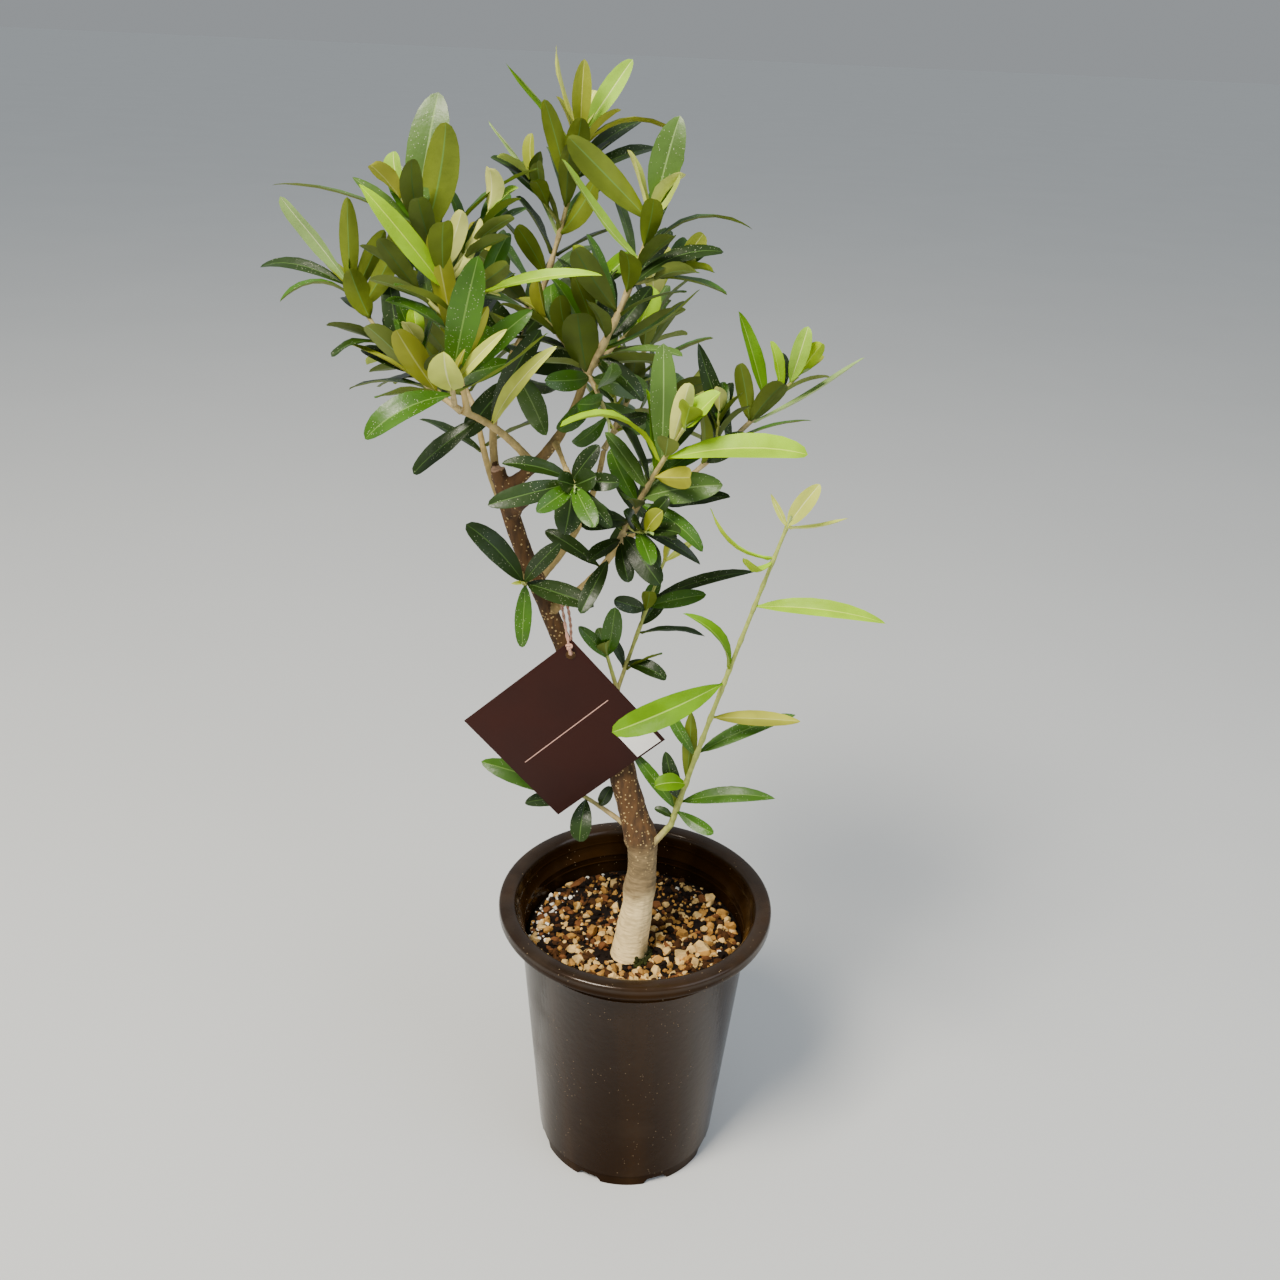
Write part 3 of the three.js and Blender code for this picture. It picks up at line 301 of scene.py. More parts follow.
class Recipe(Sheet):
    """The nodes of one material, which end in a Principled BSDF."""

    def __init__(self, name: str) -> None:
        """Starts a material."""
        self.material = bpy.data.materials.new(name)
        self.material.use_nodes = True
        super().__init__(self.material.node_tree)
        self.shader = self.tree.nodes["Principled BSDF"]
        self.place = self.node("ShaderNodeTexCoord").outputs["Object"]

    def stretched(self, scale: Triple) -> NodeSocket:
        """Gives the place with each axis scaled, for patterns that run one way."""
        settings = {"operation": "MULTIPLY"}
        return self.node("ShaderNodeVectorMath", settings, {0: self.place, 1: scale}).outputs[0]

    def cloud(self, scale: float, detail: float = 3, at: NodeSocket | None = None) -> Number:
        """Gives cloudy noise from 0 to 1, of so many waves a metre and so many finer layers."""
        inputs = {"Vector": at or self.place, "Scale": scale, "Detail": detail}
        return Number(self, self.node("ShaderNodeTexNoise", None, inputs).outputs[0])

    def cells(self, scale: float) -> Number:
        """Gives the distance from the nearest of many scattered points, in cells."""
        inputs = {"Vector": self.place, "Scale": scale}
        return Number(self, self.node("ShaderNodeTexVoronoi", None, inputs).outputs[0])

    def attribute(self, name: str) -> Number:
        """Gives a number that is kept on the mesh under a name."""
        node = self.node("ShaderNodeAttribute", {"attribute_type": "GEOMETRY", "attribute_name": name})
        return Number(self, node.outputs["Fac"])

    def along(self, axis: int) -> Number:
        """Gives the place along x, y or z, as axis 0, 1 or 2, in metres."""
        return Number(self, self.node("ShaderNodeSeparateXYZ", None, {0: self.place}).outputs[axis])

    def height(self) -> Number:
        """Gives the height above the floor in metres."""
        return self.along(2)

    def blend(self, factor: Number | float, first: object, second: object) -> NodeSocket:
        """Mixes two colours or colour sockets: factor 0 gives the first, 1 the second."""
        inputs = {0: factor, 6: first, 7: second}
        return self.node("ShaderNodeMix", {"data_type": "RGBA"}, inputs).outputs[2]

    def tones(self, code: str, factor: Number, low: float, high: float) -> NodeSocket:
        """Gives a colour that the factor takes from its low share of light to its high share."""
        base = linear(code)
        return self.blend(factor, shade(base, low), shade(base, high))

    def finish(self, colour: object, roughness: Number | float, **constants: float) -> Material:
        """Feeds the shader and gives the material; a constant's name has _ for a space."""
        self.feed(self.shader.inputs["Base Color"], colour)
        self.feed(self.shader.inputs["Roughness"], roughness)
        for key, value in constants.items():
            self.feed(self.shader.inputs[key.replace("_", " ")], value)
        return self.material

    def relief(self, height: Number, distance: float, strength: float = 1.0) -> None:
        """Lets a height stand out of the surface as a bump of so many metres."""
        inputs = {"Height": height, "Distance": distance, "Strength": strength}
        self.feed(self.shader.inputs["Normal"], self.node("ShaderNodeBump", None, inputs).outputs[0])


@dataclass(frozen=True)
class LeafFinish:
    """The finish of one face of a leaf."""

    name: str
    colour: str
    roughness: float
    specks: float = 0.0
    patches: float = 0.16
    gloss: float = 0.26
    speck: str = "dfe3c0"
    uneven: float = 0.16

    def material(self) -> Material:
        """Makes the material: soft patches of tone, and pale specks on old upper faces."""
        recipe = Recipe(self.name)
        tone = recipe.cloud(55, 2).ramp(0.3, 0.7)
        colour = recipe.tones(self.colour, tone, 1 - self.patches, 1 + self.patches)
        if self.specks:
            dots = (recipe.cells(820) < 0.15) * (recipe.cloud(90, 1) > 0.46)
            colour = recipe.blend(dots * self.specks, colour, linear(self.speck))
        recipe.relief(recipe.cloud(420, 2), 0.0003, 0.5)
        rough = recipe.cloud(130, 2) * self.uneven + (self.roughness - self.uneven / 2)
        return recipe.finish(colour, rough, Specular_IOR_Level=self.gloss)


@dataclass(frozen=True)
class BarkFinish:
    """Bark: cream at the foot, grey tan to the first shoots, dotted brown above, tan on thin boughs."""

    name: str = "bark"
    foot: str = "f4d79c"
    low: str = "7f6b49"
    high: str = "54391b"
    young: str = "bda468"
    wood: str = "c9a183"
    dot: str = "d2b478"
    moss: str = "4d4a20"
    foot_top: float = 0.208
    low_top: float = 0.243
    blend_height: float = 0.014
    soil_line: float = 0.171
    moss_height: float = 0.02
    mark_top: float = 0.182
    wander: float = 0.016
    dots_from: Pair = (0.222, 0.25)
    moss_side: Pair = (0.002, 0.008)

    def material(self) -> Material:
        """Makes the material from the height, the limb's thickness and the cut faces."""
        recipe = Recipe(self.name)
        streak = recipe.cloud(260, 4, recipe.stretched((1, 1, 0.28)))
        ridges = recipe.cloud(760, 3, recipe.stretched((0.2, 0.2, 1)))
        patch = recipe.cloud(70, 3)
        foot = recipe.tones(self.foot, ridges.ramp(0.35, 0.6), 0.8, 1.12)
        low = recipe.tones(self.low, (ridges * 0.6 + patch * 0.4).ramp(0.38, 0.62), 0.72, 1.3)
        high = recipe.tones(self.high, streak.ramp(0.35, 0.65), 0.62, 1.35)
        young = recipe.tones(self.young, streak.ramp(0.3, 0.7), 0.75, 1.15)
        height = recipe.height()
        edge = height + (patch - 0.5) * self.wander
        above_foot = edge.ramp(self.foot_top, self.foot_top + self.blend_height)
        above_low = edge.ramp(self.low_top, self.low_top + self.blend_height)
        colour = recipe.blend(above_low, recipe.blend(above_foot, foot, low), high)
        thin = recipe.attribute("thin").ramp(0.15, 0.5)
        colour = recipe.blend(thin, colour, young)
        dots = (recipe.cells(400) < 0.24) * (recipe.cloud(120, 1) > 0.42) * height.ramp(*self.dots_from)
        colour = recipe.blend(dots * (0.75 - 0.35 * thin), colour, linear(self.dot))
        above_marks = height.ramp(self.mark_top, self.mark_top + self.blend_height)
        marks = (recipe.cells(170) < 0.1) * (1 - above_marks)
        colour = recipe.blend(marks * 0.55, colour, linear(self.moss))
        rise = height.ramp(self.soil_line, self.soil_line + self.moss_height)
        moss = (1 - rise) * recipe.cloud(150, 3).ramp(0.35, 0.5)
        colour = recipe.blend(moss * recipe.along(0).ramp(*self.moss_side) * 0.8, colour, linear(self.moss))
        rings = recipe.tones(self.wood, recipe.cloud(500, 2).ramp(0.4, 0.6), 0.8, 1)
        colour = recipe.blend(recipe.attribute("cut"), colour, rings)
        grain = ridges + (streak - ridges) * above_low
        recipe.relief(grain * 0.7 + recipe.cloud(900, 2) * 0.3 + dots * 0.5, 0.0005, 0.9)
        return recipe.finish(colour, 0.9 - 0.12 * patch)


@dataclass(frozen=True)
class TwigFinish:
    """Young shoots: tan where they are thick, pale green towards the tip."""

    name: str = "twig"
    tan: str = "c0aa74"
    green: str = "acb658"

    def material(self) -> Material:
        """Makes the material from the shoot's thickness."""
        recipe = Recipe(self.name)
        mottle = recipe.cloud(300, 3)
        tan = recipe.tones(self.tan, mottle.ramp(0.35, 0.65), 0.75, 1.1)
        green = recipe.tones(self.green, mottle.ramp(0.35, 0.65), 0.85, 1.1)
        colour = recipe.blend(recipe.attribute("thin").ramp(0.3, 0.9), tan, green)
        recipe.relief(mottle, 0.0003, 0.6)
        return recipe.finish(colour, 0.62 + 0.1 * mottle)


@dataclass(frozen=True)
class PotFinish:
    """Dark brown plastic: glossy, dusty, a little worn on its lip, and warmed by a painted warm reflection
    in its browns and its specular tint.
    """

    name: str = "pot"
    # painted reflection: the body and flow browns are the plastic's own dark brown, warmed to stand in for
    # a warm reflection
    colour: str = "1e1002"
    flow: str = "33200a"
    dust: str = "8d7a62"
    lip: str = "49443c"
    # painted reflection: a warm tint on the specular that stands in for a warm reflection
    painted_warm_reflection: str = "c87a34"
    speck: str = "b39b7a"
    lip_from: Pair = (0.1925, 0.1955)
    lip_gloss: float = 0.5

    def material(self) -> Material:
        """Makes the material: faint upright flow marks, specks, a film of dust and a greyer lip."""
        recipe = Recipe(self.name)
        film = recipe.cloud(28, 5).ramp(0.45, 0.8)
        flow = recipe.cloud(34, 3, recipe.stretched((1, 1, 0.08))).ramp(0.42, 0.68)
        base = recipe.blend(flow * 0.6, linear(self.colour), linear(self.flow))
        base = recipe.blend(film * 0.035, base, linear(self.dust))
        on_lip = recipe.height().ramp(*self.lip_from)
        worn = on_lip * (recipe.cloud(60, 4).ramp(0.3, 0.7) * 0.12 + 0.05)
        base = recipe.blend(worn, base, linear(self.lip))
        specks = (recipe.cells(330) < 0.1) * (recipe.cloud(40, 2) > 0.54)
        colour = recipe.blend(specks * 0.55, base, linear(self.speck))
        recipe.relief(recipe.cloud(220, 3), 0.00025, 0.35)
        rough = 0.15 + 0.1 * film + specks * 0.4 + worn * 1.2
        # the warm specular tint is a painted reflection
        return recipe.finish(
            colour, rough, Specular_IOR_Level=0.1, Specular_Tint=linear(self.painted_warm_reflection),
            Coat_Weight=on_lip * self.lip_gloss, Coat_Roughness=0.16,
        )


@dataclass(frozen=True)
class GrainFinish:
    """One kind of soil grain, or the bed under the grains, made near black as painted shade between them.
    """

    name: str
    colour: str
    grain: float = 700.0

    def material(self) -> Material:
        """Makes the material: rough, pitted and uneven in tone."""
        recipe = Recipe(self.name)
        patch = recipe.cloud(130, 4).ramp(0.3, 0.7)
        colour = recipe.tones(self.colour, patch, 0.62, 1.22)
        recipe.relief(recipe.cloud(self.grain, 4), 0.0006, 0.9)
        return recipe.finish(colour, 0.94 - 0.08 * patch, Specular_IOR_Level=0.2)


@dataclass(frozen=True)
class CardFinish:
    """Coated card of one colour, with a faint tooth."""

    name: str
    colour: str
    roughness: float = 0.5

    def material(self) -> Material:
        """Makes the material: even ink over fine paper grain."""
        recipe = Recipe(self.name)
        cloud = recipe.cloud(24, 3).ramp(0.3, 0.7)
        colour = recipe.tones(self.colour, cloud, 0.9, 1.12)
        recipe.relief(recipe.cloud(1400, 2), 0.0001, 0.4)
        return recipe.finish(colour, self.roughness + 0.08 * cloud, Specular_IOR_Level=0.2)


@dataclass(frozen=True)
class CordFinish:
    """Twisted cord with fine fibres."""

    name: str = "cord"
    colour: str = "d3a28c"

    def material(self) -> Material:
        """Makes the material: fibres that run along the plies."""
        recipe = Recipe(self.name)
        fibre = recipe.cloud(1500, 3, recipe.stretched((1, 1, 0.35)))
        colour = recipe.tones(self.colour, fibre.ramp(0.35, 0.65), 0.72, 1.12)
        recipe.relief(fibre, 0.0003, 0.7)
        return recipe.finish(colour, 0.85 + 0.05 * fibre)


# Meshes


def frames_along(points: Sequence[Vector], radii: Sequence[float]) -> list[Matrix]:
    """Gives a steady frame for each section of a tube.

    Args:
        points: The middles of the sections.
        radii: Their radii.

    Returns:
        One matrix for each section, which puts a unit circle in place.
    """
    frames = []
    side = None
    for i, (point, radius) in enumerate(zip(points, radii)):
        tangent = (points[min(i + 1, len(points) - 1)] - points[max(i - 1, 0)]).normalized()
        if side is None:
            side = tangent.cross(steady_reference(tangent)).normalized()
        side = (side - tangent * side.dot(tangent)).normalized()
        turn = Matrix((side, tangent.cross(side), tangent)).transposed().to_4x4()
        frames.append(Matrix.Translation(point) @ turn @ Matrix.Scale(radius, 4))
    return frames


def sweep(bm: BMesh, points: Sequence[Vector], radii: Sequence[float], sides: int) -> list:
    """Draws a closed round tube through places in metres.

    Args:
        bm: The mesh that gets the tube.
        points: The middles of its sections.
        radii: The radius of each section.
        sides: How many sides the tube has.

    Returns:
        The tube's vertices, section by section.
    """
    frames = frames_along(points, radii)
    ring = bmesh.ops.create_circle(bm, cap_ends=True, segments=sides, radius=1, matrix=frames[0])["verts"]
    edges = list({edge for vert in ring for edge in vert.link_edges})
    verts = list(ring)
    for before, after in zip(frames, frames[1:]):
        grown = bmesh.ops.extrude_edge_only(bm, edges=edges)["geom"]
        ring = [part for part in grown if isinstance(part, BMVert)]
        edges = [part for part in grown if isinstance(part, BMEdge)]
        bmesh.ops.transform(bm, matrix=after @ before.inverted(), verts=ring)
        verts.extend(ring)
    bmesh.ops.contextual_create(bm, geom=edges)
    return verts


def turned(bm: BMesh, profile: Sequence[Pair], steps: int) -> None:
    """Turns a profile of radius and height in metres round +Z into a closed shell."""
    verts = [bm.verts.new((radius, 0, height)) for radius, height in profile]
    edges = [bm.edges.new(pair) for pair in zip(verts, verts[1:])]
    whole = {"cent": (0, 0, 0), "axis": UP, "angle": 2 * math.pi, "use_merge": True}
    bmesh.ops.spin(bm, geom=verts + edges, steps=steps, **whole)
    bmesh.ops.remove_doubles(bm, verts=bm.verts[:], dist=1e-6)
    bmesh.ops.dissolve_degenerate(bm, dist=1e-7, edges=bm.edges[:])
    bmesh.ops.recalc_face_normals(bm, faces=bm.faces[:])


def to_mesh(name: str, bm: BMesh) -> Mesh:
    """Turns a bmesh into a mesh and frees it."""
    mesh = bpy.data.meshes.new(name)
    bm.to_mesh(mesh)
    bm.free()
    return mesh


def from_mesh(mesh: Mesh) -> BMesh:
    """Turns a mesh into a bmesh and removes it."""
    bm = bmesh.new()
    bm.from_mesh(mesh)
    bpy.data.meshes.remove(mesh)
    return bm


def loose_object(name: str, bm: BMesh) -> Object:
    """Turns a bmesh into an object of the scene and frees it."""
    thing = bpy.data.objects.new(name, to_mesh(name, bm))
    bpy.context.scene.collection.objects.link(thing)
    return thing


def stamp(bm: BMesh, blank: Mesh, places: np.ndarray, materials: np.ndarray) -> None:
    """Adds a copy of a blank shape, with its points at places in metres and a material for each face."""
    blank.vertices.foreach_set("co", places.astype(np.float32).ravel())
    blank.polygons.foreach_set("material_index", materials.astype(np.int32))
    bm.from_mesh(blank)


def with_modifier(thing: Object, kind: str, **settings: object) -> Mesh:
    """Gives a new mesh: the object's own with one modifier of this kind and these settings applied."""
    modifier = thing.modifiers.new(kind.title(), kind)
    for key, value in settings.items():
        setattr(modifier, key, value)
    graph = bpy.context.evaluated_depsgraph_get()
    mesh = bpy.data.meshes.new_from_object(thing.evaluated_get(graph))
    thing.modifiers.clear()
    return mesh


def cut_out(solid: BMesh, cutter: BMesh) -> BMesh:
    """Cuts one closed mesh out of another, frees both and gives the cut one."""
    whole = loose_object("whole", solid)
    tool = loose_object("tool", cutter)
    mesh = with_modifier(whole, "BOOLEAN", operation="DIFFERENCE", solver="EXACT", object=tool)
    for thing in (whole, tool):
        bpy.data.objects.remove(thing)
    return from_mesh(mesh)


def drill(bm: BMesh, matrix: Matrix, radius: float, depth: float, sides: int) -> None:
    """Adds a round rod of millimetres to a cutter, about the middle and along the z axis of a matrix."""
    ends = {"cap_ends": True, "radius1": radius * MM, "radius2": radius * MM}
    bmesh.ops.create_cone(bm, segments=sides, depth=depth * MM, matrix=matrix, **ends)


@dataclass(frozen=True)
class Dress:
    """What a finished piece is called, made of and stands for."""

    name: str
    slot: str
    materials: tuple[Material, ...]
    nodes: tuple[str, ...]
    smooth_angle: float = 40.0

    def put_on(self, bm: BMesh) -> Object:
        """Makes the piece from a bmesh in metres and frees that; the piece rides on the tree's one body."""
        sharp = math.radians(self.smooth_angle)
        for edge in bm.edges:
            edge.smooth = not (edge.is_manifold and edge.calc_face_angle(0) > sharp)
        for face in bm.faces:
            face.smooth = True
        piece = loose_object(self.name, bm)
        for material in self.materials:
            piece.data.materials.append(material)
        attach(piece, "root")
        if self.nodes:
            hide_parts(*self.nodes)
        triangles = sum(len(face.vertices) - 2 for face in piece.data.polygons)
        LOG.info("%s: %d triangles", self.name, triangles)
        return piece


# The plant's plan, in millimetres


class Facing(Enum):
    """The way that a leaf's upper face looks."""

    FRONT = (0.0, -0.9, 0.44)
    BACK = (0.0, 0.9, -0.3)
    SKYWARD = (0.0, 0.0, 1.0)
    UP_FRONT = (0.0, -0.6, 0.8)
    LEFT = (-1.0, -0.25, 0.2)
    RIGHT = (1.0, -0.25, 0.2)
    FRONT_LEFT = (-0.6, -0.75, 0.3)
    FRONT_RIGHT = (0.6, -0.75, 0.3)
    BACK_LEFT = (-0.6, 0.75, -0.2)
    BACK_RIGHT = (0.6, 0.75, -0.2)


class Kind(Enum):
    """A leaf's age and tone: the colours of its upper face, its lower face and its midrib."""

    DARK = ("22370c", "56641f", "48652c")
    DEEP = ("4f6e2c", "738034", "7f9c58")
    GREEN = ("3c6410", "69781a", "66893a")
    FRESH = ("649200", "8ea61c", "9cc044")
    LIME = ("98c400", "a4c208", "c4e040")
    PALE = ("96c038", "adc050", "cfe080")
    KHAKI = ("8c962a", "a2a42e", "bcc060")
    CREAM = ("ced85c", "d6da74", "e8eca0")
    SILVER = ("8fae62", "b6c880", "cfdca0")


FRONT, BACK, SKYWARD, UP_FRONT, LEFT, RIGHT, FRONT_LEFT, FRONT_RIGHT, BACK_LEFT, BACK_RIGHT = Facing
DARK, DEEP, GREEN, FRESH, LIME, PALE, KHAKI, CREAM, SILVER = Kind
OLD_KINDS = (DARK, DEEP, GREEN)
MATURE = (DARK, DARK, GREEN, DEEP, DARK, GREEN)
YOUNG = (FRESH, PALE, KHAKI, LIME, CREAM)


@dataclass(frozen=True)
class Leaf:
    """One chosen leaf: its share along the shoot, its heading and rise, its size, and how it looks."""

    share: float
    heading: float
    rise: float
    length: float
    width: float
    facing: Facing
    kind: Kind
    arch: float = 2.0


def leafed(*rows: tuple) -> tuple[Leaf, ...]:
    """Gives chosen leaves from rows of their values."""
    return tuple(Leaf(*row) for row in rows)


@dataclass(frozen=True)
class Shoot:
    """A shoot: its reach and bow, its chosen leaves, and the pairs and side twigs of the rule."""

    name: str
    reach: Triple
    radius: Pair = (1.3, 0.8)
    pairs: int = 0
    size: Pair = (0, 0)
    bow: Triple = (0, 0, 0)
    on: str = ""
    share: float = 0.0
    twigs: int = 0
    twig_turn: float = 0.0
    spread: Pair = (68, 28)
    first: float = 0.12
    last: float = 1.0
    young: bool = True
    tones: tuple[float, ...] = ()
    leaves: tuple[Leaf, ...] = ()


@dataclass(frozen=True)
class Mass:
    """A mass of foliage, which grows from one stem on a bough's tip or on the trunk."""

    name: str
    shoots: tuple[Shoot, ...]
    bough: str = ""
    trunk: Triple = (0, 0, 0)


@dataclass(frozen=True)
class Bough:
    """A bough: where it leaves the trunk or a lower bough, and how far it reaches."""

    reach: Triple
    radius: Pair
    start: Triple = (0, 0, 0)
    bow: Triple = (0, 0, 0)
    on: str = ""
    share: float = 0.0
    leaves: tuple[Leaf, ...] = ()


SOIL_TOP = 170.0
TRUNK_BENDS = (
    ((-4, -24, 160), 13.2), ((-2.5, -22, 170), 12.1), ((-1.1, -20, 184), 11), ((1.4, -17.5, 205), 10),
    ((2.2, -15.5, 216), 10.7), ((3.2, -12.8, 230), 9.2), ((3, -10, 243), 9.5), ((1.4, -8.4, 252), 10.9),
    ((-3.9, -5.8, 268.5), 9.1), ((-9.9, -3.9, 288), 8.7), ((-14.5, -2.3, 306), 8.2), ((-28, 0, 337), 7),
    ((-50, 2, 380), 5.7), ((-62, 3, 408), 5.3), ((-73, 4, 434), 5.3), ((-81, 5, 457), 5.2),
    ((-90, 6, 488), 4.4),
)
STUBS = (
    ((-82, 4, 464), (9, -13, 12), (4.4, 4.1)),
    ((-71, 2, 424), (-10, -4, 4), (2.2, 1.8)),
)
BOUGHS = {
    "bough_centre": Bough(reach=(43, -12, 67), bow=(6, -1, -3), start=(-84, 4, 478), radius=(3.7, 2.2)),
    "bough_left": Bough(
        reach=(-32, -50, 44), bow=(1, 0, 4), on="bough_centre", share=0.25, radius=(2.6, 1.8),
        leaves=leafed(
        (0.63, -28, 51, 62, 11, FRONT_LEFT, CREAM, 7), (0.46, -130, 21, 35, 19, FRONT, KHAKI),
        (0.65, -20, 62, 60, 13, FRONT, DARK), (0.79, -164, -38, 45, 13, UP_FRONT, DARK, 3),
        (0.3, 10, 40, 44, 13, FRONT, DARK), (0.9, 100, 40, 44, 12, SKYWARD, GREEN),
    )),
    "bough_upper_left": Bough(
        reach=(-4, -10, 33), on="bough_left", share=0.93, radius=(1.7, 1.5), leaves=leafed(
        (0.5, 150, 40, 46, 13, UP_FRONT, DARK), (0.6, -10, 45, 52, 13, FRONT, GREEN),
        (0.9, 60, 40, 46, 12, SKYWARD, DARK),
    )),
    "bough_top": Bough(
        reach=(16, 19, 86), bow=(-10, 4, 0), start=(-90, 7, 480), radius=(2.6, 1.8), leaves=leafed(
        (0.55, -150, 45, 46, 13, UP_FRONT, DARK), (0.6, 20, 50, 48, 14, FRONT, DARK),
        (0.8, 160, 45, 50, 13, FRONT, GREEN), (0.85, -20, 55, 50, 13, BACK, GREEN),
    )),
    "bough_front": Bough(reach=(8, -26, -7), on="bough_centre", share=0.5, radius=(1.7, 1.5)),
    "bough_right": Bough(
        reach=(40, -19, 52), bow=(3, 0, -2), start=(-59, 1, 403), radius=(2.8, 2.0), leaves=leafed(
        (0.7, 170, 30, 38, 11, UP_FRONT, DARK), (0.82, -120, -40, 36, 11, FRONT, DARK),
        (0.75, 60, 30, 40, 12, SKYWARD, DARK),
    )),
    "bough_far_right": Bough(
        reach=(41, 20, 40), bow=(2, 0, 1), on="bough_right", share=0.9, radius=(1.9, 1.5), leaves=leafed(
        (0.4, -160, 60, 44, 12, FRONT, DARK), (0.6, -30, 20, 44, 12, UP_FRONT, DARK),
        (0.8, 150, 60, 48, 12, FRONT, GREEN),
    )),
    "bough_back_left": Bough(
        reach=(-32, 54, 60), bow=(-4, 4, -4), start=(-77, 5, 445), radius=(2.6, 1.8), leaves=leafed(
        (0.7, 160, 20, 46, 13, SKYWARD, DARK), (0.75, -20, 30, 46, 13, SKYWARD, DARK),
    )),
    "bough_back_right": Bough(
        reach=(36, 52, 66), bow=(6, 4, -6), start=(-68, 4, 420), radius=(2.6, 1.8), leaves=leafed(
        (0.7, 170, 25, 46, 13, SKYWARD, DARK), (0.75, -10, 30, 46, 13, SKYWARD, DARK),
    )),
}
